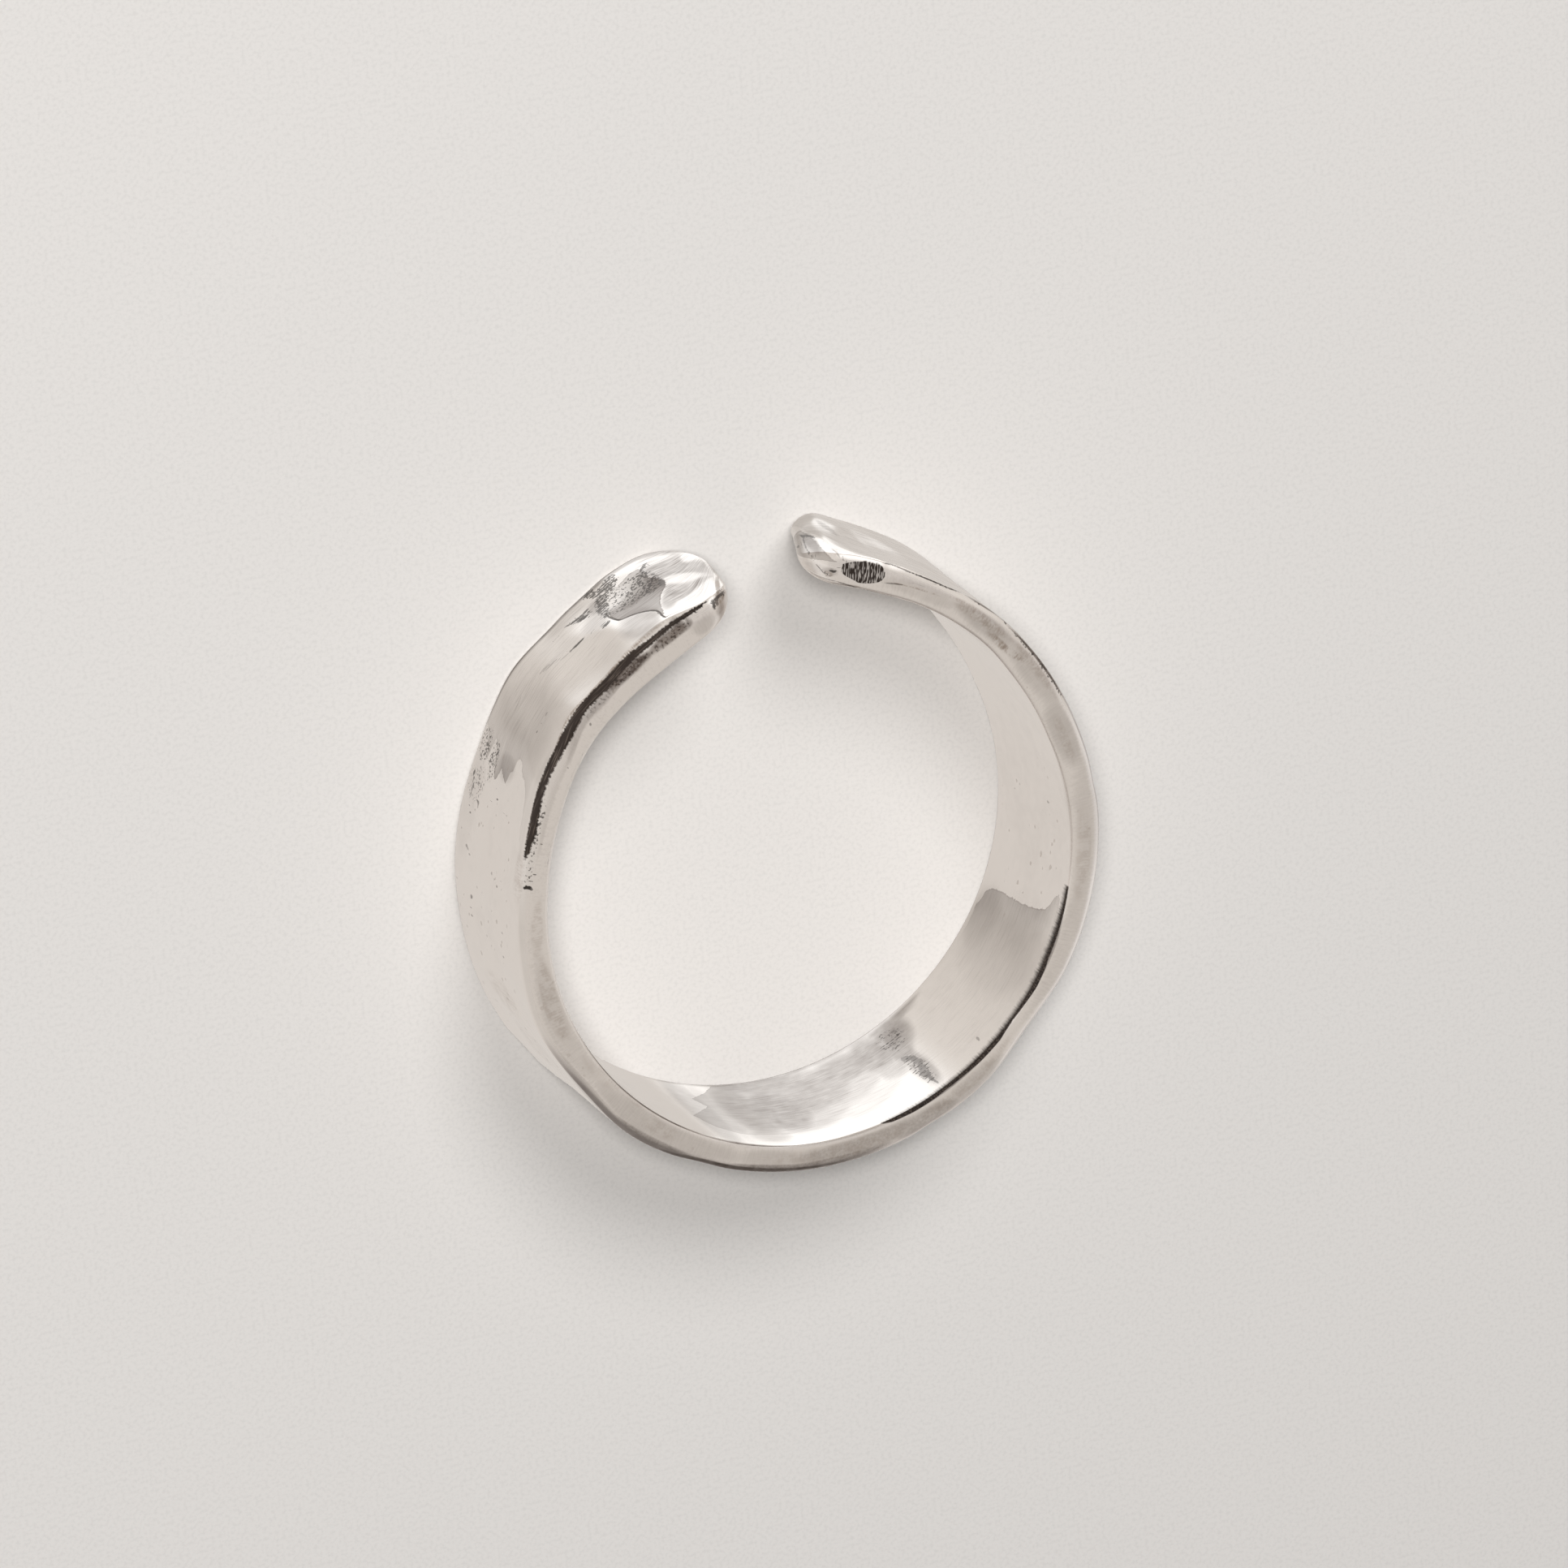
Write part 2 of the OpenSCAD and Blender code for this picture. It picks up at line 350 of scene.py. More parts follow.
ARM = [
    [0.030, 40.0, 56.3, 0.00, 0.16],
    [0.080, 40.0, 57.3, 0.00, 0.18],
    [0.120, 40.0, 58.6, 0.00, 0.22],
    [0.155, 40.0, 60.2, 0.00, 0.30],
    [0.175, 40.0, 62.6, 0.00, 0.36],
    [0.195, 40.0, 60.8, 0.00, 0.34],
    [0.215, 40.0, 57.7, 0.00, 0.24],
    [0.235, 40.0, 58.3, 0.00, 0.26],
    [0.265, 40.0, 60.0, 0.00, 0.30],
    [0.290, 40.0, 62.5, 0.00, 0.42],
    [0.320, 40.0, 64.8, 0.00, 0.50],
    [0.345, 40.0, 64.2, 0.00, 0.52],
    [0.360, 40.0, 63.4, 0.00, 0.52],
    [0.375, 40.0, 61.6, 0.00, 0.48],
    [0.410, 40.0, 62.6, 0.00, 0.50],
    [0.440, 40.0, 63.1, 0.00, 0.50],
    [0.482, 40.0, 63.8, 0.00, 0.48],
    [0.495, 40.0, 61.4, 0.00, 0.38],
    [0.512, 40.0, 60.9, 0.00, 0.38],
    [0.535, 40.0, 60.6, 0.00, 0.36],
    [0.542, 40.0, 57.8, 0.00, 0.26],
    [0.565, 40.0, 57.9, 0.00, 0.24],
    [0.600, 40.0, 58.2, 0.00, 0.24],
    [0.625, 40.0, 59.3, 0.00, 0.25],
    [0.655, 40.0, 60.2, 0.00, 0.26],
    [0.690, 40.0, 60.5, 0.00, 0.25],
    [0.720, 40.0, 61.5, 0.00, 0.24],
    [0.745, 40.0, 62.6, 0.00, 0.22],
    [0.765, 40.0, 64.2, 0.00, 0.19],
    [0.780, 40.0, 67.5, 0.00, 0.15],
    [0.790, 40.0, 70.5, 0.00, 0.12],
    [0.805, 40.0, 71.0, 0.00, 0.06],
]
WALL_START = [
    [2.235, 161.0, 184.0, 0.26, 0.00],
    [2.290, 156.2, 188.0, 0.40, 0.00],
    [2.345, 154.6, 188.0, 0.42, 0.00],
    [2.400, 153.2, 188.0, 0.42, 0.00],
    [2.570, 160.2, 188.0, 0.44, 0.00],
    [2.655, 158.2, 188.0, 0.44, 0.00],
    [2.760, 163.4, 188.0, 0.44, 0.00],
    [2.850, 166.6, 188.0, 0.40, 0.00],
]
WALL_END = [
    [2.150, 226.0, 252.8, 0.00, 0.20],
    [2.190, 226.0, 252.0, 0.00, 0.28],
    [2.220, 226.0, 249.8, 0.00, 0.36],
    [2.250, 226.0, 247.9, 0.00, 0.40],
    [2.300, 226.0, 247.0, 0.00, 0.42],
    [2.400, 226.0, 246.0, 0.00, 0.42],
    [2.500, 226.0, 245.4, 0.00, 0.40],
    [2.600, 226.0, 245.0, 0.00, 0.38],
    [2.700, 226.0, 244.6, 0.00, 0.40],
    [2.760, 226.0, 244.0, 0.00, 0.42],
    [2.800, 226.0, 243.0, 0.00, 0.42],
    [2.835, 228.0, 239.0, 0.00, 0.36],
]
RIGHT_END_FACE = [
    [0.380, 349.7, 370.0, 0.40, 0.32],
    [0.500, 348.8, 370.0, 0.44, 0.34],
    [0.600, 348.3, 370.0, 0.42, 0.34],
    [0.700, 347.8, 370.0, 0.40, 0.34],
    [0.800, 347.4, 370.0, 0.40, 0.34],
    [0.880, 347.0, 370.0, 0.42, 0.40],
    [0.930, 346.3, 370.0, 0.36, 0.40],
    [0.965, 345.4, 370.0, 0.32, 0.40],
]
RIGHT_UPPER_FACE = [
    [0.060, 316.0, 350.5, 0.00, 0.16],
    [0.500, 316.0, 348.4, 0.00, 0.16],
    [0.600, 317.0, 346.8, 0.00, 0.16],
    [0.700, 318.0, 344.8, 0.00, 0.16],
    [0.780, 320.0, 342.4, 0.00, 0.16],
    [0.815, 322.0, 340.4, 0.00, 0.16],
    [0.835, 325.0, 338.0, 0.00, 0.16],
]
# Each patch, and the power by which its darkness grows from the first angle to the last
PATCHES = [
    [BOWL, 1.0],
    [ARM, 3.0],
    [WALL_START, 1.0],
    [WALL_END, 2.0],
    [RIGHT_END_FACE, 1.0],
    [RIGHT_UPPER_FACE, 2.5],
]

# Dark shapes with sharp edges, painted into the colour. The first two are painted dark reflections and
# have rows of angle, first lap and last lap: the bevel of the left arm and the inner corner of the front
# rim. The third has rows of lap, first angle and last angle: the flat that a tool left, partly a tool
# mark and partly a painted dark reflection.
BEVEL_BLACK = [
    [12.3, 0.885, 0.900],
    [15.0, 0.890, 0.945],
    [17.5, 0.905, 0.968],
    [20.0, 0.925, 0.982],
    [23.0, 0.930, 0.996],
    [27.0, 0.925, 0.996],
    [30.0, 0.900, 0.988],
    [34.0, 0.885, 0.988],
    [37.0, 0.880, 0.992],
    [40.0, 0.872, 0.980],
    [43.0, 0.880, 0.975],
    [46.0, 0.893, 0.996],
    [48.0, 0.885, 0.992],
    [51.0, 0.864, 0.965],
    [55.0, 0.848, 0.937],
    [60.0, 0.858, 0.938],
    [65.0, 0.872, 0.956],
    [69.0, 0.878, 0.962],
    [72.0, 0.882, 0.935],
    [73.6, 0.886, 0.900],
]
CORNER_BLACK = [
    [189.5, 2.060, 2.112],
    [192.0, 1.930, 2.120],
    [197.0, 1.880, 2.124],
    [202.0, 1.900, 2.126],
    [205.0, 1.940, 2.128],
    [210.0, 1.930, 2.130],
    [214.0, 1.880, 2.132],
    [220.0, 1.890, 2.134],
    [222.0, 1.960, 2.136],
    [225.0, 2.010, 2.138],
    [229.0, 1.960, 2.136],
    [233.0, 1.880, 2.136],
    [237.5, 1.920, 2.140],
    [239.5, 1.980, 2.146],
    [245.0, 1.980, 2.144],
    [250.0, 1.990, 2.138],
    [255.3, 2.010, 2.132],
]
FLAT_BLACK = [
    [0.930, 339.2, 341.4],
    [0.950, 338.7, 343.6],
    [0.975, 338.4, 344.8],
    [1.100, 338.1, 344.9],
    [1.170, 338.1, 344.9],
    [1.250, 338.3, 344.3],
    [1.350, 338.5, 343.2],
    [1.420, 338.9, 342.4],
    [1.460, 339.2, 342.5],
    [1.510, 339.8, 342.3],
    [1.550, 340.6, 342.1],
    [1.580, 341.1, 341.8],
]
# Small dark marks: angle and lap of the middle, half lengths in angle and lap, how dark, and any rise
SPOTS = [
    [35.0, 0.405, 1.8, 0.010, 0.85, -0.002],
    [38.2, 0.396, 1.1, 0.006, 0.25, -0.004],
    [40.8, 0.348, 1.5, 0.008, 0.30, -0.002],
    [42.4, 0.318, 1.2, 0.008, 0.24, -0.002],
    [30.6, 0.228, 1.3, 0.014, 0.90, -0.004],
    [31.8, 0.188, 1.6, 0.012, 0.85, -0.006],
    [29.4, 0.186, 0.8, 0.008, 0.75],
    [33.6, 0.164, 0.7, 0.006, 0.60, -0.010],
    [28.9, 0.480, 1.1, 0.014, 0.88, 0.006],
    [29.4, 0.450, 0.8, 0.006, 0.50],
    [16.9, 0.190, 1.0, 0.014, 0.75, 0.030],
    [16.3, 0.440, 0.6, 0.045, 0.55, 0.030],
    [48.2, 0.610, 0.5, 0.009, 0.35],
    [51.8, 0.618, 0.3, 0.006, 0.55],
    [50.5, 0.275, 1.6, 0.004, 0.25, 0.006],
    [67.2, 0.436, 0.16, 0.014, 0.85],
    [66.2, 0.088, 0.7, 0.009, 0.75],
    [68.4, 0.118, 0.6, 0.007, 0.65],
    [69.9, 0.120, 0.4, 0.006, 0.55],
    [70.2, 0.216, 0.14, 0.022, 0.70],
    [71.1, 0.236, 0.3, 0.007, 0.45, 0.01],
    [73.1, 0.165, 0.2, 0.010, 0.75],
    [79.3, 0.185, 0.3, 0.014, 0.50],
    [80.4, 0.228, 0.2, 0.012, 0.40],
    [82.0, 0.590, 0.25, 0.010, 0.55],
    [80.5, 0.512, 0.3, 0.010, 0.35],
    [88.6, 0.236, 0.5, 0.012, 0.65, -0.01],
    [92.4, 0.226, 0.2, 0.012, 0.55],
    [90.2, 0.650, 0.2, 0.010, 0.45],
    [95.3, 0.620, 0.25, 0.012, 0.50],
    [78.4, 0.985, 0.45, 0.070, 0.98],
    [78.7, 1.060, 0.22, 0.070, 0.75],
    [75.7, 1.060, 0.12, 0.055, 0.75],
    [69.6, 1.100, 0.12, 0.045, 0.65],
    [44.8, 1.280, 0.35, 0.045, 0.55],
    [54.0, 1.140, 0.12, 0.030, 0.55],
    [204.0, 2.500, 0.6, 0.022, 0.40],
    [205.3, 2.455, 0.7, 0.034, 0.48],
    [205.9, 2.405, 0.6, 0.030, 0.48],
    [205.2, 2.350, 0.8, 0.034, 0.48],
    [204.2, 2.300, 0.6, 0.024, 0.42],
    [205.2, 2.280, 0.3, 0.020, 0.50],
    [204.6, 2.232, 0.4, 0.030, 0.58],
    [204.8, 2.180, 0.25, 0.020, 0.50],
    [217.3, 2.220, 0.3, 0.020, 0.45],
    [270.0, 2.330, 0.3, 0.014, 0.40],
    [313.3, 0.915, 0.18, 0.022, 0.85],
    [320.0, 0.905, 0.20, 0.014, 0.75],
    [325.2, 0.868, 2.0, 0.020, 0.85, 0.022],
    [330.0, 0.908, 3.6, 0.016, 0.90, 0.002],
    [334.8, 0.908, 1.9, 0.010, 0.70, -0.004],
    [337.5, 0.890, 1.0, 0.014, 0.60, 0.016],
    [346.1, 1.150, 0.50, 0.040, 0.85],
    [336.4, 1.405, 1.7, 0.030, 0.60, 0.017],
    [344.0, 1.900, 1.6, 0.032, 0.60, -0.055],
    [338.0, 2.060, 4.2, 0.030, 0.70, -0.010],
    [330.6, 2.090, 3.0, 0.024, 0.55, -0.004],
    [9.6, 0.965, 1.9, 0.024, 0.80, -0.004],
    [11.6, 1.080, 0.32, 0.150, 0.80],
    [10.5, 1.080, 0.22, 0.110, 0.60],
    [347.9, 1.150, 0.55, 0.020, 0.75, -0.22],
    [349.45, 0.530, 0.40, 0.028, 0.85, -0.10],
    [348.75, 0.560, 0.45, 0.026, 0.85, -0.06],
    [348.10, 0.600, 0.40, 0.028, 0.80, -0.06],
    [349.50, 0.640, 0.14, 0.060, 0.65],
    [349.45, 0.760, 0.14, 0.050, 0.60],
    [349.25, 0.870, 0.16, 0.040, 0.55],
    [350.45, 0.700, 0.20, 0.040, 0.60],
    [345.60, 0.860, 0.50, 0.022, 0.35, -0.10],
]
# The dark seam at the edge of the bowl: lap and angle of its points
SEAM = [
    [0.375, 27.6],
    [0.430, 27.65],
    [0.490, 27.35],
    [0.525, 27.1],
    [0.545, 26.6],
    [0.557, 25.6],
    [0.575, 24.4],
    [0.600, 23.3],
    [0.630, 22.4],
    [0.660, 21.7],
    [0.700, 21.1],
    [0.740, 21.0],
    [0.800, 21.15],
    [0.845, 21.0],
]
# Places smeared by dark strokes: angle, lap, half lengths, how dense the strokes are, and any rise
SMEARS = [
    [24.2, 0.165, 3.8, 0.090, 1.00, 0.020],
    [27.0, 0.285, 2.0, 0.130, 1.00, 0.050],
    [26.6, 0.090, 2.2, 0.060, 0.95, -0.030],
    [31.0, 0.205, 3.2, 0.055, 0.62, -0.010],
    [16.9, 0.200, 1.8, 0.040, 0.50, 0.030],
    [28.7, 0.470, 1.6, 0.035, 0.40],
    [16.4, 0.450, 1.0, 0.080, 0.50, 0.030],
    [35.5, 0.404, 3.0, 0.020, 0.35],
    [62.0, 0.270, 3.6, 0.050, 0.50],
    [60.0, 0.130, 3.6, 0.065, 0.45],
    [204.8, 2.360, 2.2, 0.200, 0.60],
    [205.4, 2.690, 3.8, 0.120, 0.55],
]
# Stippled, frosted places: angle, lap, half lengths, how dense the dark grains are, and any rise
FROSTS = [
    [18.6, 0.350, 3.2, 0.150, 0.95],
    [21.5, 0.395, 4.0, 0.085, 0.80, 0.010],
    [22.5, 0.280, 4.2, 0.090, 0.50, 0.010],
    [25.0, 0.400, 2.8, 0.060, 0.50],
    [24.6, 0.170, 3.2, 0.080, 0.50, 0.020],
    [61.8, 0.255, 4.2, 0.060, 0.60],
    [60.2, 0.120, 4.0, 0.070, 0.60],
    [67.5, 0.150, 4.0, 0.110, 0.28],
    [23.6, 1.210, 4.8, 0.170, 0.28, -0.008],
    [20.2, 1.130, 2.2, 0.230, 0.30],
    [17.6, 1.110, 0.5, 0.180, 0.40],
    [32.6, 1.080, 6.0, 0.160, 0.30, -0.010],
    [40.5, 1.060, 4.5, 0.110, 0.18],
    [8.5, 1.010, 0.9, 0.130, 0.95],
    [11.4, 1.060, 0.5, 0.150, 1.00],
    [9.9, 0.965, 1.9, 0.030, 0.95],
    [16.0, 0.930, 4.0, 0.040, 0.85, 0.008],
    [67.0, 0.968, 7.0, 0.034, 0.50],
    [76.0, 0.960, 3.0, 0.040, 0.35],
    [303.0, 0.950, 10.0, 0.060, 0.45],
    [346.8, 1.200, 1.2, 0.160, 0.20],
]
# Brown tarnish: angle, lap, half lengths, strength and any rise
BROWNS = [
    [8.4, 0.800, 1.9, 0.090, 1.00, 0.125],
    [9.4, 1.080, 2.6, 0.240, 0.80],
    [23.0, 1.200, 6.0, 0.220, 0.35],
    [10.2, 1.420, 1.8, 0.300, 0.40],
    [30.0, 1.280, 3.0, 0.080, 0.35],
    [40.0, 1.140, 5.0, 0.140, 0.30],
    [44.0, 0.884, 30.0, 0.034, 0.85],
    [87.0, 1.480, 8.0, 0.320, 0.30],
    [102.0, 1.600, 12.0, 0.260, 0.42],
    [121.0, 1.700, 6.0, 0.200, 0.22],
    [129.0, 1.880, 12.0, 0.100, 0.32],
    [140.0, 1.620, 5.0, 0.250, 0.28],
    [262.0, 1.600, 12.0, 0.260, 0.32],
    [180.0, 1.500, 20.0, 0.400, 0.30],
    [210.0, 1.550, 16.0, 0.300, 0.30],
    [287.0, 1.600, 7.0, 0.140, 0.32],
    [303.0, 1.250, 10.0, 0.300, 0.42],
    [308.4, 1.580, 3.6, 0.110, 0.80, 0.030],
    [312.4, 1.630, 4.0, 0.120, 0.95],
    [318.0, 1.350, 8.0, 0.280, 0.62],
    [322.0, 1.120, 6.0, 0.160, 0.45],
    [333.0, 1.375, 5.8, 0.046, 0.90, 0.006],
    [338.0, 2.000, 4.0, 0.050, 0.40],
    [343.0, 1.950, 1.6, 0.100, 0.45, 0.020],
    [346.8, 1.240, 0.9, 0.120, 0.60],
    [345.4, 0.860, 0.5, 0.060, 0.50],
    [106.0, 0.430, 5.0, 0.200, 0.24, 0.010],
    [117.0, 0.560, 7.0, 0.260, 0.20, 0.010],
    [77.0, 0.860, 6.0, 0.080, 0.30],
]
# Brushed streaks along the band: angle, lap, half lengths, strength and any rise
STREAKS = [
    [12.5, 0.420, 9.0, 0.420, 0.90],
    [38.0, 0.400, 24.0, 0.420, 0.32],
    [185.0, 2.480, 28.0, 0.340, 0.22],
    [225.0, 2.480, 26.0, 0.340, 0.16],
    [336.0, 0.340, 30.0, 0.470, 0.70, -0.010],
    [316.0, 0.840, 26.0, 0.100, 0.60],
]
# Places pitted by fine specks: angle, lap, half lengths and how many
PITS = [
    [66.0, 0.170, 8.0, 0.130, 0.95],
    [82.0, 0.400, 26.0, 0.420, 0.55],
    [120.0, 0.450, 30.0, 0.500, 0.45],
    [100.0, 1.500, 60.0, 0.400, 0.30],
    [300.0, 1.500, 40.0, 0.450, 0.35],
    [262.0, 2.500, 24.0, 0.360, 0.50],
]

# How the brush strokes bend towards the left end: laps that they rise by, the angle where they start
# and the degrees over which the bend dies out
STROKE_RISE = 0.5
STROKE_START = 7
STROKE_BEND = 2.5
# How full the soft spots of shade and tarnish are, and how full the others are
SOFT_FULLNESS = 1.3
FULLNESS = 2.0
# How far round a small mark its place is still told to the material, in millimetres
SPOT_REACH = 0.25
# The most that a place in a mark is told, in its half widths, and a depth in a shape, in millimetres
FARTHEST_PLACE = 20
FARTHEST_DEPTH = 1
# Laps where the satin of the front rim starts and where it is over, the laps that it fades over, and
# the lap where the satin of the back rim starts
SATIN_FROM = 0.97
SATIN_TO = 2.06
SATIN_SOFT = 0.05
SATIN_BACK = 3.02
# Laps between which a small mark counts as one on the front rim
RIM_FROM = 0.9
RIM_TO = 2.1
# How much broader and longer than the brush strokes the faint broad ones are
BROAD_STROKES = 4.0
# How thick the tool's lines on the flat are, as a share of a brush stroke
LINE_SHARE = 0.62

# How each kind of wear, painted shade and painted dark reflection is drawn: the value where it starts to
# show, the one where it shows in full, and its strength there
FADES = {
    "patch": (-0.012, 0.018, 1),
    "patch_rim": (0.07, 0.01, 0.30),
    "stroke": (0.48, 0.74, 0.34),
    "broad_stroke": (0.42, 0.70, 0.16),
    "mark": (1.12, 0.72, 1),
    "seam": (0.040, 0.014, 0.85),
    "smear": (0.70, 0.94, 0.80),
    "smear_edge": (0.0, 0.3, 1),
    "grains": (0.60, 0.68, 1),
    "brown": (0.25, 0.72, 1),
    "pit": (0.10, 0.02, 1),
    "bevel": (-0.012, 0.020, 1),
    "corner": (-0.03, 0.05, 1),
    "flat": (-0.015, 0.02, 1),
    # Mottling within the painted dark reflection of the bevel
    "painted_band_mottle": (0.50, 0.72, 0.35),
    "tool_line": (0.48, 0.60, 0.62),
    "fibre": (0.25, 0.6, 1),
}
# Shades: how much the strokes shake them anywhere and where it is brushed, how much the grain shakes
# them on satin, the least they keep of themselves and the most light they take
SHADE_STROKES = 0.3
SHADE_BRUSHED = 1.8
SHADE_GRAIN = 0.9
SHADE_LEAST = 0.2
SHADE_MOST = 0.92
# How much the grain and the scratches change the light on satin
SATIN_GRAIN = 0.22
# Frost: how much it adds to the grains, how fast it darkens them and how dark they get, and what it
# adds to the roughness and the relief
FROST_GRAINS = 0.14
FROST_RISE = 2.0
FROST_DARK = 0.76
FROST_ROUGH = 0.20
FROST_RELIEF = 1.4
# Depths of the strokes, the pits and the seam as parts of the relief, and how brown the pits are
STROKE_RELIEF = 0.5
PIT_RELIEF = 3.0
SEAM_RELIEF = 4.0
PIT_BROWN = 0.75
# How much of the tool's lines shows in the black of the corner
CORNER_LINES = 0.3
# The noise's value at which a ripple neither rises nor sinks
RIPPLE_LEVEL = 0.6


def length_property(name, description, millimetres):
    """A length, given in millimetres."""
    return FloatProperty(name=name, description=description, default=millimetres * MM, unit="LENGTH")


def share_property(name, description, value):
    """A share from 0 to 1."""
    return FloatProperty(
        name=name, description=description, default=value, min=0, max=1, subtype="FACTOR"
    )


def colour_property(name, description, value):
    """A colour."""
    return FloatVectorProperty(
        name=name, description=description, default=value, min=0, max=1, subtype="COLOR"
    )


class RingShape(bpy.types.PropertyGroup):
    """Sizes of the band."""

    finger_radius: length_property("Finger Radius", "Radius of the finger hollow", 8.5)
    band_width: FloatProperty(
        name="Band Width",
        description="Width of the band along the finger",
        default=CAD_BOX[1].z - CAD_BOX[0].z,
        unit="LENGTH",
    )
    back_round: length_property(
        "Back Rounding", "Rounding between the hammered face and the back rim", 0.30
    )
    inner_round: length_property(
        "Inner Rounding", "Rounding between the rims and the inner wall", 0.14
    )
    bevel_start: FloatProperty(
        name="Bevel Start",
        description="Angle at which the front bevel leaves the hammered face",
        default=math.radians(34),
        subtype="ANGLE",
    )
    hammer_radius: length_property("Hammer Radius", "Radius of the hammer's crowned face", 18)
    mark_softness: length_property(
        "Mark Softness", "Depth over which a hammer mark runs into the face round it", 0.012
    )
    mark_blur: IntProperty(
        name="Mark Blur",
        description="Times the ridges between the hammer marks are smoothed",
        default=8,
        min=0,
    )
    ripple_depth: length_property(
        "Ripple Depth", "Depth of the small ripples that planishing leaves", 0.008
    )
    ripple_size: length_property("Ripple Size", "Length of the small ripples", 1.6)
    seed: IntProperty(name="Seed", description="Seed of the ripples", default=7)


class SilverFinish(bpy.types.PropertyGroup):
    """Colours and polish of the silver."""

    silver: colour_property("Silver", "Colour of the polished silver", (0.96, 0.925, 0.90))
    satin_silver: colour_property("Satin Silver", "Colour of the satin rims", (0.965, 0.925, 0.895))
    tarnish: colour_property(
        "Tarnish", "Colour of the brown tarnish on the rims", (0.42, 0.35, 0.30)
    )
    # Painted shade: the colour that the silver is darkened towards where its reflections are painted
    # darker
    painted_shade: colour_property(
        "Painted Shade", "Colour that the darkest shades of the silver run to", (0.08, 0.052, 0.038)
    )
    # Colour of the painted dark reflection on the bevel, and on the flat between the tool's lines
    black: colour_property(
        "Black", "Colour of the blackened bevel and of the flat", (0.058, 0.047, 0.042)
    )
    # Colour of the real small dark marks and grains, and of the painted dark reflection in the corner
    marks_and_painted_dark: colour_property(
        "Marks And Painted Dark", "Colour of the small dark marks, the grains and the corner", (0.045, 0.038, 0.035)
    )
    polish: share_property("Polish", "Roughness of the hammered face and the inner wall", 0.17)
    satin: share_property("Satin", "Roughness of the rims", 0.36)
    grain_size: length_property(
        "Grain Size", "Size of the grain of the rims and the frosted places", 0.080
    )
    cloud_size: length_property("Cloud Size", "Size of the cloudy spots", 0.35)
    mottle_size: length_property("Mottle Size", "Size of the faint mottling", 1.2)
    brush_length: length_property(
        "Brush Length", "Length of the streaks that brushing leaves", 0.75
    )
    brush_width: length_property("Brush Width", "Width of the streaks that brushing leaves", 0.060)
    pit_spacing: length_property("Pit Spacing", "Distance between the pits", 0.34)
    relief: length_property("Relief", "Depth of the grain, streaks and pits", 0.0022)


class RingStudio(bpy.types.PropertyGroup):
    """Floor and camera."""

    floor_colour: colour_property("Floor Colour", "Colour of the paper floor", (0.80, 0.77, 0.74))
    camera_distance: length_property(
        "Camera Distance", "Distance from the camera to the middle of the ring", 300
    )
    lens: FloatProperty(
        name="Lens",
        description="Focal length of the camera in millimetres",
        default=226.2,
        subtype="DISTANCE_CAMERA",
    )


def smooth_through(rows, column, at):
    """Values at the given angles on a smooth curve through one column of a table."""
    table = np.asarray(rows, float)
    x, y = table[:, ANGLE], table[:, column]
    index = np.arange(len(x))
    low, high = np.maximum(index - 1, 0), np.minimum(index + 1, len(x) - 1)
    slope = (y[high] - y[low]) / (x[high] - x[low])
    i = np.clip(np.searchsorted(x, at, side="right") - 1, 0, len(x) - 2)
    step = x[i + 1] - x[i]
    t = (at - x[i]) / step
    return (
        (1 + 2 * t) * (1 - t) ** 2 * y[i]
        + t * (1 - t) ** 2 * step * slope[i]
        + t * t * (3 - 2 * t) * y[i + 1]
        + t * t * (t - 1) * step * slope[i + 1]
    )


def rounded(distance, length):
    """Share of full size at a distance into a rounding of some length."""
    return np.sqrt(1 - np.clip(1 - distance / length, 0, 1) ** 2)


def quarter_round(steps, rising):
    """A rounded corner of size 1, as distances in from the rim and depths below the face."""
    turn = np.linspace(0, math.pi / 2, steps + 1)
    if not rising:
        turn = turn[::-1]
    return 1 - np.cos(turn), 1 - np.sin(turn)


def bevel_profile(steps, start, steep):
    """The front bevel of size 1, a row for each section: it leaves the face at a crisp edge, runs on
    almost straight for a share of its length and then rolls over into the rim."""
    t = np.linspace(0, 1, steps)
    turns = [0, start, start + BEVEL_TURN, math.pi / 2]
    tilt = np.array([np.interp(t, [0, BEVEL_CRISP, share, 1], turns) for share in steep[:, 0]])
    middle = (tilt[:, 1:] + tilt[:, :-1]) / 2
    none = np.zeros((len(tilt), 1))
    along = np.hstack([none, np.cumsum(np.cos(middle), 1)])
    down = np.hstack([none, np.cumsum(np.sin(middle), 1)])
    return 1 - along / along[:, -1:], down / along[:, -1:]


def ridge_drop(angle, height, outer_radius):
    """How far the right end's outside falls away beyond its ridge, in millimetres."""
    first, second = RIDGE
    degree = np.radians(outer_radius)
    run, rise = (second[0] - first[0]) * degree, second[1] - first[1]
    along, across = (angle - first[0]) * degree, height - first[1]
    beyond = (along * rise - across * run) / np.hypot(run, rise)
    soft = np.sqrt(beyond**2 + RIDGE_ROUND**2)
    return RIDGE_SLOPE * np.where(angle > 180, (beyond + soft) / 2, 0)


def smooth_face(shape, angle, height):
    """Radius of the outside before the hammer, in millimetres."""
    width = shape.band_width / MM
    back, front = smooth_through(SECTIONS, BACK, angle), smooth_through(SECTIONS, FRONT, angle)
    front_radius = shape.finger_radius / MM + front
    front = front + ridge_drop(angle, width, front_radius)
    radius = shape.finger_radius / MM + back + (front - back) * height / width
    return radius - ridge_drop(angle, height, front_radius)


def mark_table():
    """The marks on the left arm, then those of the rule."""
    rule = [
        [
            RULE_START + RULE_STEP * i,
            RULE_EDGE + (1 - 2 * RULE_EDGE) * (GOLDEN * i % 1),
            RULE_DEPTH + RULE_DEPTH_SPREAD * math.sin(math.radians(RULE_DEPTH_TURN * i)),
        ]
        for i in range(RULE_COUNT)
    ]
    return np.array(MARKS + rule)


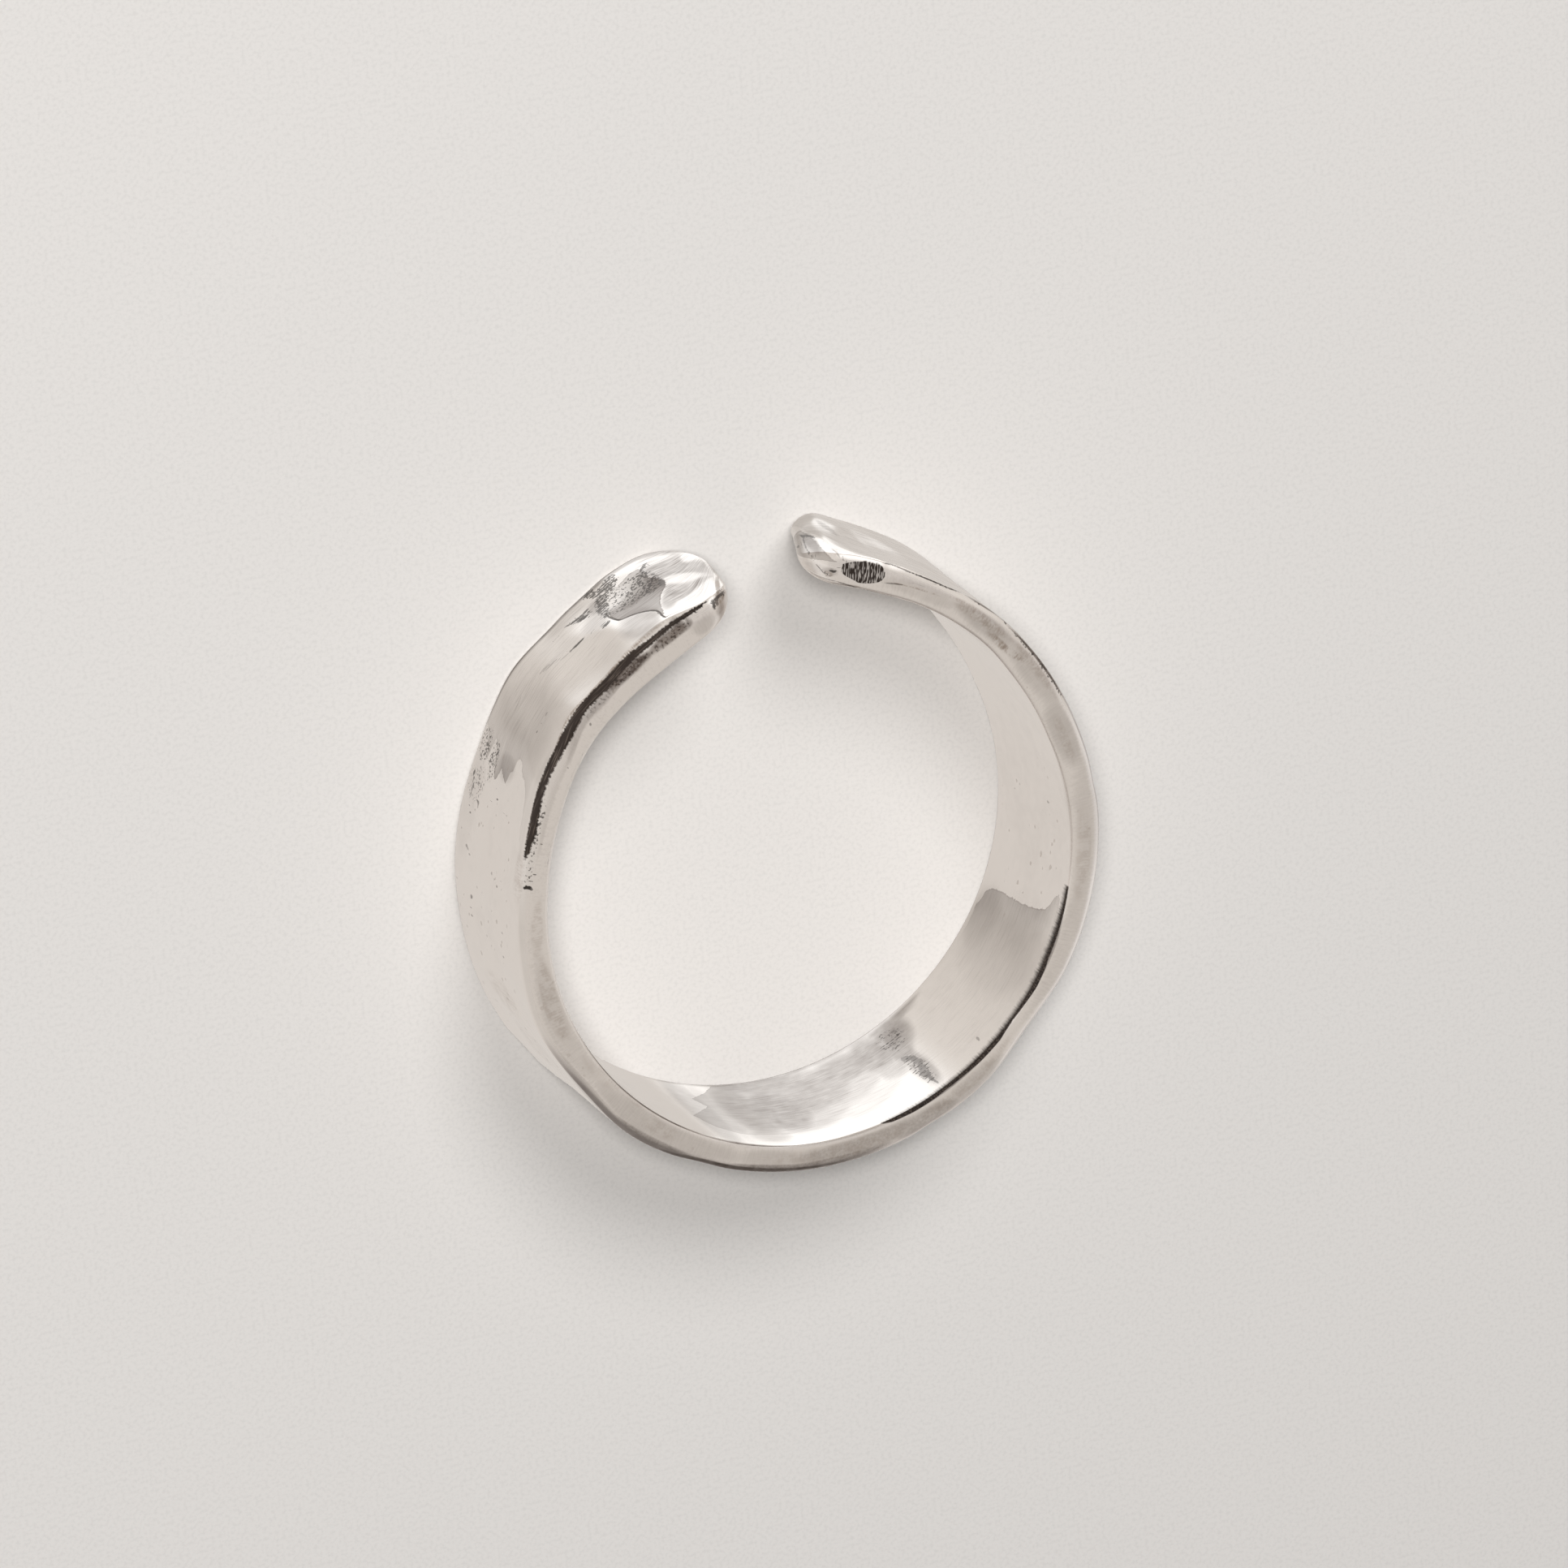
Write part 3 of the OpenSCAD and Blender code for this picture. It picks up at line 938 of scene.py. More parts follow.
def section_rows(shape):
    """Angles of the sections from the left end to the right end, and how far each is from its end."""
    degrees_per_mm = math.degrees(MM / shape.finger_radius)
    k = np.arange(TIP_ROWS + 1)
    tip = np.maximum(END_SLIVER, TIP_LENGTH * (1 - np.cos(np.radians(90 * k / TIP_ROWS))))
    start, end = LEFT_END + tip[-1] * degrees_per_mm, 360 - RIGHT_END - tip[-1] * degrees_per_mm
    middle = np.linspace(start, end, MIDDLE_ROWS + 1)[1:-1]
    angle = np.concatenate(
        [LEFT_END + tip * degrees_per_mm, middle, 360 - RIGHT_END - tip[::-1] * degrees_per_mm]
    )
    distance = np.minimum(angle - LEFT_END, 360 - RIGHT_END - angle) / degrees_per_mm
    return angle[:, None], distance[:, None]


def inner_steps(start, end, steps):
    """Even steps between two columns, without the two ends."""
    return start + (end - start) * np.linspace(0, 1, steps + 1)[None, 1:-1]


def strip_grid(shape):
    """Points of the strip before the hammer, a row for each section, with what the hammer and the
    finish need to know: each point's angle, height, smooth radius, share of a strike and UV."""
    angle, distance = section_rows(shape)
    is_left = angle[:, 0] < 180
    corner = np.where(is_left[:, None], END_CORNERS[0], END_CORNERS[1])
    width = shape.band_width / MM
    low = corner[:, BACK_ACROSS, None] * (1 - rounded(distance, corner[:, BACK_ALONG, None]))
    high = width - corner[:, FRONT_ACROSS, None] * (1 - rounded(distance, corner[:, FRONT_ALONG, None]))
    full = rounded(distance, END_ROUND)
    bevel = smooth_through(BEVELS, BEVEL_WIDTH, angle) * full
    back = shape.back_round / MM * full
    inner = shape.inner_round / MM * full

    rise, sink = quarter_round(CORNER_STEPS, True)
    fall, drop = quarter_round(CORNER_STEPS, False)
    steep = smooth_through(BEVELS, BEVEL_STEEP, angle)
    bevel_in, bevel_down = bevel_profile(BEVEL_STEPS, shape.bevel_start, steep)
    face = inner_steps(low + back, high - bevel, FACE_STEPS)
    wall = inner_steps(high - inner, low + inner, WALL_STEPS)
    outside = np.hstack([low + back * rise, face, high - bevel * bevel_in])
    outside_down = np.hstack([back * sink, 0 * face, bevel * bevel_down])
    inside = np.hstack([high - inner * rise, wall, low + inner * fall])
    inside_down = np.hstack([inner * sink, 0 * wall, inner * drop])

    finger = shape.finger_radius / MM
    bore = np.maximum(finger, finger + smooth_through(SECTIONS, INSIDE, angle))
    smooth = smooth_face(shape, angle, outside)
    outside_middle = (bore + smooth) / 2
    outside_radius = outside_middle + (smooth - outside_middle) * full - outside_down
    inside_middle = (bore + smooth_face(shape, angle, inside)) / 2
    inside_radius = inside_middle + (bore - inside_middle) * full + inside_down

    def joined(outer, inner):
        """Columns round a whole section, with even steps across both rims."""
        front = inner_steps(outer[:, -1:], inner[:, :1], FRONT_RIM_STEPS)
        back = inner_steps(inner[:, -1:], outer[:, :1], BACK_RIM_STEPS)
        return np.hstack([outer, front, inner, back])

    height = joined(outside, inside)
    radius = joined(outside_radius, inside_radius)
    strike = joined(full + 0 * outside, 0 * inside)
    smooth = joined(smooth, smooth_face(shape, angle, inside))
    bent = np.clip(1 - distance / SLANT_REACH, 0, 1) ** 2
    slant = np.where(is_left[:, None], LEFT_SLANT, RIGHT_SLANT) * bent
    turned = angle + math.degrees(MM / shape.finger_radius) * slant * (height - width / 2)
    turn = np.radians(turned)
    lap = laps(outside.shape[1], inside.shape[1], height.shape[1]) + 0 * height
    point = np.stack([-radius * np.sin(turn), radius * np.cos(turn), height], -1)
    point = with_flat(point, angle[:, 0], lap[0]) * MM
    return {
        "point": point,
        "angle": angle + 0 * height,
        "height": height,
        "smooth": smooth,
        "strike": strike,
        "lap": lap,
        "uv": np.stack([turned / 360, section_share(point, outside.shape[1], inside.shape[1])], -1),
    }


def with_flat(point, angles, laps_across):
    """The strip's points with the oval flat pressed into the right end's front bevel."""
    row = np.argmin(np.abs(angles - FLAT_ANGLE))
    column = np.argmin(np.abs(laps_across - FLAT_LAP))
    along = point[row + 1, column] - point[row - 1, column]
    across = point[row, column + 1] - point[row, column - 1]
    along, across = along / np.linalg.norm(along), across / np.linalg.norm(across)
    outward = np.cross(along, across)
    outward *= np.sign(outward @ (point[row, column] - point[row].mean(0)))
    offset = point - point[row, column]
    inside = 1 - (offset @ along / FLAT_ALONG) ** 2 - (offset @ across / FLAT_ACROSS) ** 2
    pressed = FLAT_DEPTH * np.clip(inside, 0, 1) * (offset @ outward > -FLAT_REACH)
    return point - pressed[..., None] * outward


def lap_starts(outside_count, inside_count):
    """Columns where each face of the band starts, in the middle of the corners."""
    corner, bevel = CORNER_STEPS // 2, BEVEL_STEPS // 2
    wall_start = outside_count + FRONT_RIM_STEPS - 1
    return [corner, outside_count - bevel, wall_start + corner, wall_start + inside_count - corner]


def laps(outside_count, inside_count, columns):
    """The lap of each column."""
    starts = lap_starts(outside_count, inside_count)
    column = np.arange(columns)
    column = np.where(column < starts[0], column + columns, column)
    lap = np.interp(column, [*starts, columns + starts[0]], np.arange(FACES + 1))
    return np.where(lap > FACES - BELOW_START, lap - FACES, lap)[None, :]


def section_share(point, outside_count, inside_count):
    """How far round its section each point lies, with a quarter for each face of the band. The faces
    meet in the middle of the corners."""
    columns = point.shape[1]
    step = np.linalg.norm(np.roll(point, -1, 1) - point, axis=-1)
    length = np.hstack([0 * step[:, :1], np.cumsum(step, 1)])
    starts = lap_starts(outside_count, inside_count)
    share = np.empty(point.shape[:2])
    for row in range(len(point)):
        edges = length[row, starts]
        whole = length[row, -1]
        shares = np.arange(FACES + 1) / FACES
        reached = length[row, :columns]
        reached = np.where(reached < edges[0], reached + whole, reached)
        share[row] = np.interp(reached, [*edges, edges[0] + whole], shares)
    return share


def plateau(away, fullness):
    """1 in the middle of an oval and 0 from its edge outwards, given the squared distance."""
    rise = np.clip(fullness * (1 - away), 0, 1)
    return rise * rise * (3 - 2 * rise)


def place_in(spot, angle, lap):
    """Where each point lies in an oval spot: 0 in its middle and 1 at its edge, along and across it."""
    middle, middle_lap, half_angle, half_lap, _, *rise = spot
    off = angle - middle
    return off / half_angle, (lap - middle_lap - sum(rise) * off) / half_lap


def spots(angle, lap, table, fullness=FULLNESS):
    """The strongest of a table's oval spots at each point. The fuller they are, the steeper they end."""
    strongest = 0 * angle
    for spot in table:
        along, across = place_in(spot, angle, lap)
        strongest = np.maximum(strongest, spot[STRENGTH] * plateau(along**2 + across**2, fullness))
    return strongest


def near(depth):
    """A depth or distance, told no farther than the material needs."""
    return np.clip(depth, -FARTHEST_DEPTH, FARTHEST_DEPTH)


def shape_depth(along, across, rows, mm_along, mm_across):
    """How deep inside a shape each point lies, in millimetres, or how far outside if negative. The
    rows give the shape's start and end across it at places along it."""
    at, starts, ends, *_ = np.array(rows).T
    start, end = np.interp(along, at, starts), np.interp(along, at, ends)
    inside = np.minimum(across - start, end - across) * mm_across
    return np.minimum(inside, np.minimum(along - at[0], at[-1] - along) * mm_along)


def patch_fields(angle, lap):
    """How deep inside the nearest crisp patch of painted shade each point lies, and the light it takes
    away.
    """
    deepest, takes = np.full_like(angle, -np.inf), 0 * angle
    for rows, power in PATCHES:
        depth = shape_depth(lap, angle, rows, MM_PER_LAP, MM_PER_DEGREE)
        at, *columns = np.array(rows).T
        first, last, at_first, at_last = (np.interp(lap, at, column) for column in columns)
        share = np.clip((angle - first) / (last - first), 0, 1) ** power
        takes = np.where(depth > deepest, at_first + (at_last - at_first) * share, takes)
        deepest = np.maximum(depth, deepest)
    return near(deepest), takes


def black_field(angle, lap, rows):
    """How deep inside a strip of painted dark reflection along a corner each point lies."""
    return near(shape_depth(angle, lap, rows, MM_PER_DEGREE, RIM_MM_PER_LAP))


def spot_field(angle, lap):
    """Where each point lies in the nearest small mark and how dark that is, or 0 beyond its reach."""
    nearest = np.full_like(angle, np.inf)
    place = np.zeros((*angle.shape, 3))
    on_rim = (lap > RIM_FROM) & (lap < RIM_TO)
    lap_length = np.where(on_rim, RIM_MM_PER_LAP, MM_PER_LAP)
    for spot in SPOTS:
        _, _, half_angle, half_lap, darkness, *_ = spot
        along, across = place_in(spot, angle, lap)
        half_size = np.minimum(half_angle * MM_PER_DEGREE, half_lap * lap_length)
        beyond = (np.hypot(along, across) - 1) * half_size
        here = np.stack([along, across, np.where(beyond < SPOT_REACH, darkness, 0)], -1)
        place = np.where((beyond < nearest)[..., None], here, place)
        nearest = np.minimum(beyond, nearest)
    return np.clip(place, -FARTHEST_PLACE, FARTHEST_PLACE)


def seam_field(angle, lap):
    """Signed distance from the dark seam at the edge of the bowl, in millimetres, beyond its ends too."""
    at, beside = np.array(SEAM).T
    slope = np.interp(lap, at, np.gradient(beside, at)) * MM_PER_DEGREE / MM_PER_LAP
    distance = (angle - np.interp(lap, at, beside)) * MM_PER_DEGREE / np.sqrt(1 + slope**2)
    past_end = np.maximum(at[0] - lap, lap - at[-1]) * MM_PER_LAP
    return near(np.where(past_end > 0, np.hypot(distance, past_end), distance))


def satin_field(lap):
    """1 on the satin rims, 0 on the hammered face and the polished wall."""
    rise, fall = (lap - SATIN_FROM) / SATIN_SOFT, (SATIN_TO - lap) / SATIN_SOFT
    return np.maximum(np.clip(rise, 0, 1) * np.clip(fall, 0, 1), lap > SATIN_BACK)


def stroke_place(angle, lap):
    """Place of each point along and across the brush strokes, in millimetres."""
    bend = STROKE_RISE * np.exp((STROKE_START - angle) / STROKE_BEND)
    round_mm = np.cumsum([0, MM_PER_LAP, RIM_MM_PER_LAP, MM_PER_LAP, RIM_MM_PER_LAP])
    across = np.interp(lap, np.arange(FACES + 1), round_mm) + bend * MM_PER_LAP
    return np.stack([angle * MM_PER_DEGREE, across, 0 * angle], -1)


def finish_fields(grid):
    """What the silver's material reads at each point."""
    angle, lap = grid["angle"], grid["lap"]
    patch, patch_takes = patch_fields(angle, lap)
    shade = spots(angle, lap, SHADES, SOFT_FULLNESS) * (1 - spots(angle, lap, LIT, SOFT_FULLNESS))
    flat = shape_depth(lap, angle, FLAT_BLACK, RIM_MM_PER_LAP, MM_PER_DEGREE)
    return {
        "shade": shade,
        "patch": patch,
        "patch_takes": patch_takes,
        "bevel_black": black_field(angle, lap, BEVEL_BLACK),
        "corner_black": black_field(angle, lap, CORNER_BLACK),
        "flat": near(flat),
        "spot": spot_field(angle, lap),
        "seam": seam_field(angle, lap),
        "smear": spots(angle, lap, SMEARS),
        "frost": spots(angle, lap, FROSTS),
        "brown": spots(angle, lap, BROWNS, SOFT_FULLNESS),
        "streak": spots(angle, lap, STREAKS),
        "pitted": spots(angle, lap, PITS),
        "satin": satin_field(lap),
        "stroke": stroke_place(angle, lap),
    }


SHAPE_FIELDS = ("angle", "height", "smooth", "strike")


def strip_mesh(grid):
    """The strip as a closed mesh, with its attributes, before the hammer."""
    rows, columns = grid["height"].shape
    point = grid["point"].reshape(-1, 3)
    ends = [grid["point"][0].mean(0), grid["point"][-1].mean(0)]
    left_middle, right_middle = len(point), len(point) + 1
    row, column = np.meshgrid(np.arange(rows - 1), np.arange(columns), indexing="ij")
    here, beside = columns * row + column, columns * row + (column + 1) % columns
    quads = np.stack([here, here + columns, beside + columns, beside], -1).reshape(-1, 4)
    ring = np.arange(columns)
    after = (ring + 1) % columns
    left = np.stack([np.full(columns, left_middle), ring, after], -1)
    right_row = columns * (rows - 1)
    right = np.stack([np.full(columns, right_middle), right_row + after, right_row + ring], -1)
    mesh = bpy.data.meshes.new(BAND)
    mesh.from_pydata(np.vstack([point, ends]), [], quads.tolist() + left.tolist() + right.tolist())
    shape_fields = {name: grid[name] for name in SHAPE_FIELDS}
    for name, values in {**shape_fields, **finish_fields(grid)}.items():
        flat = values.reshape(len(point), -1)
        with_ends = np.vstack([flat, np.atleast_1d(values[0].mean(0)), np.atleast_1d(values[-1].mean(0))])
        add_attribute(mesh, name, with_ends.squeeze())
    add_uv_map(mesh, grid["uv"].reshape(-1, 2))
    return mesh


def add_attribute(mesh, name, values):
    """One number or three at each point of a mesh."""
    kind, key = ("FLOAT", "value") if values.ndim == 1 else ("FLOAT_VECTOR", "vector")
    attribute = mesh.attributes.new(name, kind, "POINT")
    attribute.data.foreach_set(key, np.asarray(values, np.float32).ravel())


def add_uv_map(mesh, uv):
    """UV of each face corner. The last column's faces run on past 1, so that none is turned back."""
    corner_point = np.empty(len(mesh.loops), int)
    mesh.loops.foreach_get("vertex_index", corner_point)
    middles = np.array([[LEFT_END / 360, 0.5], [1 - RIGHT_END / 360, 0.5]])
    corner_uv = np.vstack([uv, middles])[corner_point]
    starts, totals = np.empty(len(mesh.polygons), int), np.empty(len(mesh.polygons), int)
    mesh.polygons.foreach_get("loop_start", starts)
    mesh.polygons.foreach_get("loop_total", totals)
    quads = starts[totals == 4][:, None] + np.arange(4)
    v = corner_uv[quads, 1]
    run_on = quads[v.max(1) - v.min(1) > 0.5]
    corner_uv[run_on, 1] += corner_uv[run_on, 1] < 0.5
    layer = mesh.uv_layers.new(name=UV)
    layer.data.foreach_set("uv", corner_uv.ravel().astype(np.float32))


def connect(tree, node, inputs):
    """Links a node's sockets to others or sets them to values."""
    for socket, value in inputs.items():
        if isinstance(value, bpy.types.NodeSocket):
            tree.links.new(value, node.inputs[socket])
        else:
            node.inputs[socket].default_value = value


def add_node(tree, kind, inputs=None, **settings):
    """A node with its settings, and with its sockets linked to others or set to values."""
    node = tree.nodes.new(kind)
    for name, value in settings.items():
        setattr(node, name, value)
    connect(tree, node, inputs or {})
    return node


def calc(tree, operation, *values):
    """Result of a math node on numbers or sockets."""
    return add_node(tree, "ShaderNodeMath", dict(enumerate(values)), operation=operation).outputs[0]


def vector_calc(tree, operation, *values, **inputs):
    """Outputs of a vector math node on vectors or sockets."""
    inputs.update(enumerate(values))
    return add_node(tree, "ShaderNodeVectorMath", inputs, operation=operation).outputs


def times(tree, *values):
    """The product of numbers and sockets."""
    product = values[0]
    for value in values[1:]:
        product = calc(tree, "MULTIPLY", product, value)
    return product


def total(tree, *values):
    """The sum of numbers and sockets."""
    added = values[0]
    for value in values[1:]:
        added = calc(tree, "ADD", added, value)
    return added


def named(tree, name):
    """A point attribute inside a geometry tree."""
    node = add_node(tree, "GeometryNodeInputNamedAttribute", {"Name": name}, data_type="FLOAT")
    return node.outputs["Attribute"]


def noise_of(tree, place, scale, detail):
    """Noise from 0 to 1 around 0.5."""
    inputs = {"Vector": place, "Scale": scale, "Detail": detail}
    return add_node(tree, "ShaderNodeTexNoise", inputs, noise_dimensions="3D").outputs["Fac"]


# Inputs of the hammer's nodes that come from the sizes: name, kind of socket, size
HAMMER_INPUTS = [
    ("Finger Radius", "NodeSocketFloat", "finger_radius"),
    ("Hammer Radius", "NodeSocketFloat", "hammer_radius"),
    ("Mark Softness", "NodeSocketFloat", "mark_softness"),
    ("Mark Blur", "NodeSocketInt", "mark_blur"),
    ("Ripple Depth", "NodeSocketFloat", "ripple_depth"),
    ("Ripple Size", "NodeSocketFloat", "ripple_size"),
    ("Seed", "NodeSocketInt", "seed"),
]


def lift_of(floor, lowest, hammer_radius):
    """How far a mark is lifted off the flat strip, so that the nearest mark is the one whose bowl
    reaches lowest: bowls of one curvature differ in depth as their distances squared do."""
    return np.sqrt(2 * hammer_radius * (floor - lowest))


def arc_stretch(floor, hammer_radius):
    """Length along the flat strip for each radian. It is longer than the arc because a bowl curves
    away from the round strip as well as from the hammer."""
    return floor * math.sqrt(1 + hammer_radius / floor)


def mark_cloud(shape):
    """The hammer marks as points over the flat strip, the lowest floor and the strip's stretch."""
    table = mark_table()
    height = table[:, 1] * shape.band_width
    floor = smooth_face(shape, table[:, ANGLE], height / MM) * MM - table[:, 2] * MM
    lowest = floor.min()
    stretch = arc_stretch(floor.mean(), shape.hammer_radius)
    lift = lift_of(floor, lowest, shape.hammer_radius)
    mesh = bpy.data.meshes.new("hammer_marks")
    along = np.radians(table[:, ANGLE]) * stretch
    mesh.from_pydata(np.stack([along, height, lift], -1), [], [])
    return placed("hammer_marks", mesh), lowest, stretch


def hammer_tree():
    """Geometry nodes that strike the marks and ripples into the outside of the strip."""
    tree = bpy.data.node_groups.new("Hammered Face", "GeometryNodeTree")
    for name, kind in (
        ("Geometry", "NodeSocketGeometry"),
        ("Marks", "NodeSocketObject"),
        ("Lowest Floor", "NodeSocketFloat"),
        ("Arc Stretch", "NodeSocketFloat"),
        *((name, kind) for name, kind, _ in HAMMER_INPUTS),
        ("Silver", "NodeSocketMaterial"),
    ):
        tree.interface.new_socket(name=name, in_out="INPUT", socket_type=kind)
    tree.interface.new_socket(name="Geometry", in_out="OUTPUT", socket_type="NodeSocketGeometry")
    given = tree.nodes.new("NodeGroupInput").outputs

    turn = calc(tree, "RADIANS", named(tree, "angle"))
    along = times(tree, turn, given["Arc Stretch"])
    across = times(tree, named(tree, "height"), MM)
    flat = add_node(tree, "ShaderNodeCombineXYZ", {"X": along, "Y": across}).outputs[0]
    marks = add_node(tree, "GeometryNodeObjectInfo", {"Object": given["Marks"]}).outputs["Geometry"]
    nearest = {"Geometry": marks, "Sample Position": flat}
    nearest = add_node(tree, "GeometryNodeProximity", nearest, target_element="POINTS").outputs["Distance"]
    bowl = calc(tree, "DIVIDE", times(tree, nearest, nearest), times(tree, given["Hammer Radius"], 2))
    bowl = total(tree, bowl, given["Lowest Floor"])
    smooth = times(tree, named(tree, "smooth"), MM)
    struck = calc(tree, "SMOOTH_MIN", bowl, smooth, given["Mark Softness"])
    blur = {
        "Value": calc(tree, "SUBTRACT", struck, smooth),
        "Iterations": given["Mark Blur"],
        "Weight": named(tree, "strike"),
    }
    blurred = add_node(tree, "GeometryNodeBlurAttribute", blur, data_type="FLOAT").outputs[0]

    arc = times(tree, turn, given["Finger Radius"])
    spot = add_node(tree, "ShaderNodeCombineXYZ", {"X": arc, "Y": across, "Z": given["Seed"]}).outputs[0]
    ripple = noise_of(tree, spot, calc(tree, "DIVIDE", 1, given["Ripple Size"]), 1.0)
    ripple = times(tree, calc(tree, "SUBTRACT", ripple, RIPPLE_LEVEL), given["Ripple Depth"])
    rise = times(tree, total(tree, blurred, ripple), named(tree, "strike"))

    place = add_node(tree, "GeometryNodeInputPosition").outputs[0]
    outward = vector_calc(tree, "NORMALIZE", vector_calc(tree, "MULTIPLY", place, (1, 1, 0))[0])[0]
    offset = vector_calc(tree, "SCALE", outward, Scale=rise)[0]
    geometry = given["Geometry"]
    for kind, inputs in (
        ("GeometryNodeSetPosition", {"Offset": offset}),
        ("GeometryNodeSetShadeSmooth", {"Shade Smooth": True}),
        ("GeometryNodeRealizeInstances", {}),
        ("GeometryNodeSetMaterial", {"Material": given["Silver"]}),
    ):
        geometry = add_node(tree, kind, {"Geometry": geometry, **inputs}).outputs[0]
    connect(tree, tree.nodes.new("NodeGroupOutput"), {0: geometry})
    return tree


def set_input(modifier, tree, name, value):
    """Sets a modifier's input by the identifier of the tree's socket."""
    for socket in tree.interface.items_tree:
        if socket.item_type == "SOCKET" and socket.in_out == "INPUT" and socket.name == name:
            modifier[socket.identifier] = value
            return
    raise ValueError(f"the tree has no input named {name}")


def made_plain(obj):
    """The evaluated object's mesh on the object itself, with its modifiers taken off."""
    graph = bpy.context.evaluated_depsgraph_get()
    mesh = bpy.data.meshes.new_from_object(obj.evaluated_get(graph))
    obj.modifiers.clear()
    obj.data = mesh
    return obj


def field(tree, name, output="Fac"):
    """A point attribute inside a material, as one number or as a vector."""
    return add_node(tree, "ShaderNodeAttribute", attribute_name=name).outputs[output]


def grain(tree, place, size, detail):
    """Noise whose spots have the given size."""
    return noise_of(tree, place, 1 / size, detail)


def step(tree, value, low, high):
    """A smooth step from 0 to 1 between two values."""
    inputs = {"Value": value, "From Min": low, "From Max": high}
    return add_node(tree, "ShaderNodeMapRange", inputs, interpolation_type="SMOOTHSTEP").outputs[0]


def faded(tree, value, kind):
    """How strongly a kind of wear shows where its field has a value."""
    low, high, strength = FADES[kind]
    return times(tree, step(tree, value, low, high), strength)


def shaken(tree, value, noise, **strengths):
    """A value shaken by the noises that are named, each as strongly as given."""
    for name, strength in strengths.items():
        value = total(tree, value, times(tree, calc(tree, "SUBTRACT", noise[name], 0.5), strength))
    return value


def mixed(tree, factor, first, second):
    """One colour mixed with another as a socket says."""
    node = add_node(tree, "ShaderNodeMix", data_type="RGBA")
    inputs = {each.identifier: each for each in node.inputs}
    tree.links.new(factor, inputs["Factor_Float"])
    for name, colour in (("A_Color", first), ("B_Color", second)):
        if isinstance(colour, bpy.types.NodeSocket):
            tree.links.new(colour, inputs[name])
        else:
            inputs[name].default_value = (*colour, 1)
    return next(each for each in node.outputs if each.identifier == "Result_Color")


def new_material(name):
    """A material and its node tree."""
    material = bpy.data.materials.new(name)
    material.use_nodes = True
    return material, material.node_tree


def placed(name, data):
    """A new object in the scene."""
    obj = bpy.data.objects.new(name, data)
    bpy.context.scene.collection.objects.link(obj)
    return obj


def silver_noises(tree, finish):
    """The noises that the silver's colour, roughness and relief share."""
    place = add_node(tree, "ShaderNodeTexCoord").outputs["Object"]
    stroke = field(tree, "stroke", "Vector")
    long, thin = MM / finish.brush_length, MM / finish.brush_width
    along = vector_calc(tree, "MULTIPLY", stroke, (long, thin, 0))[0]
    across = vector_calc(tree, "MULTIPLY", stroke, (thin, long, 0))[0]
    pits = {"Vector": place, "Scale": 1 / finish.pit_spacing, "Randomness": 1.0}
    return {
        "fine": grain(tree, place, finish.grain_size, 1.0),
        "cloud": grain(tree, place, finish.cloud_size, 3.0),
        "mottle": grain(tree, place, finish.mottle_size, 2.0),
        "brushed": grain(tree, along, 1.0, 2.0),
        "broad": grain(tree, along, BROAD_STROKES, 2.0),
        "scratched": grain(tree, across, 1.0, 2.0),
        "lines": grain(tree, across, LINE_SHARE, 1.0),
        "pits": add_node(tree, "ShaderNodeTexVoronoi", pits).outputs["Distance"],
    }


def light_left(tree, noise):
    """Share of the light that the painted shades, the crisp painted patches and the brushed streaks leave.
    """
    satin, streak = field(tree, "satin"), field(tree, "streak")
    edge = shaken(tree, field(tree, "patch"), noise, cloud=0.10, fine=0.06, brushed=0.12)
    uneven = total(tree, shaken(tree, 1.0, noise, brushed=0.5), faded(tree, edge, "patch_rim"))
    patch = times(tree, faded(tree, edge, "patch"), field(tree, "patch_takes"), uneven)
    brushed = total(tree, times(tree, streak, SHADE_BRUSHED), SHADE_STROKES)
    uneven = shaken(tree, 1.0, noise, brushed=brushed, cloud=0.7, fine=times(tree, satin, SHADE_GRAIN))
    shade = times(tree, field(tree, "shade"), calc(tree, "MAXIMUM", uneven, SHADE_LEAST))
    shade = calc(tree, "MINIMUM", shade, SHADE_MOST)
    strokes = faded(tree, noise["brushed"], "stroke")
    strokes = total(tree, strokes, faded(tree, noise["broad"], "broad_stroke"))
    grainy = times(tree, satin, SATIN_GRAIN)
    left = shaken(tree, 1.0, noise, mottle=0.14, cloud=0.12, fine=grainy, scratched=grainy)
    for takes in (patch, shade, times(tree, strokes, streak)):
        left = times(tree, left, calc(tree, "SUBTRACT", 1, takes))
    return left


def dark_marks(tree, noise):
    """The small marks, the seam, the smears and the stipple as one darkness, and the seam alone."""
    spot = add_node(tree, "ShaderNodeSeparateXYZ", {"Vector": field(tree, "spot", "Vector")})
    along, across, darkness = spot.outputs
    away = calc(tree, "SQRT", total(tree, times(tree, along, along), times(tree, across, across)))
    mark = times(tree, faded(tree, shaken(tree, away, noise, fine=1.2, brushed=0.8), "mark"), darkness)
    off_seam = calc(tree, "ABSOLUTE", shaken(tree, field(tree, "seam"), noise, cloud=0.04))
    seam = faded(tree, off_seam, "seam")
    smear, frost = field(tree, "smear"), field(tree, "frost")
    strokes = faded(tree, shaken(tree, smear, noise, brushed=2.4, fine=1.8), "smear")
    strokes = times(tree, strokes, faded(tree, smear, "smear_edge"))
    grains = total(tree, noise["fine"], times(tree, frost, FROST_GRAINS))
    grains = faded(tree, shaken(tree, grains, noise, cloud=0.3), "grains")
    grains = times(tree, grains, calc(tree, "MINIMUM", times(tree, frost, FROST_RISE), FROST_DARK))
    darkest = mark
    for other in (seam, strokes, grains):
        darkest = calc(tree, "MAXIMUM", darkest, other)
    return darkest, seam


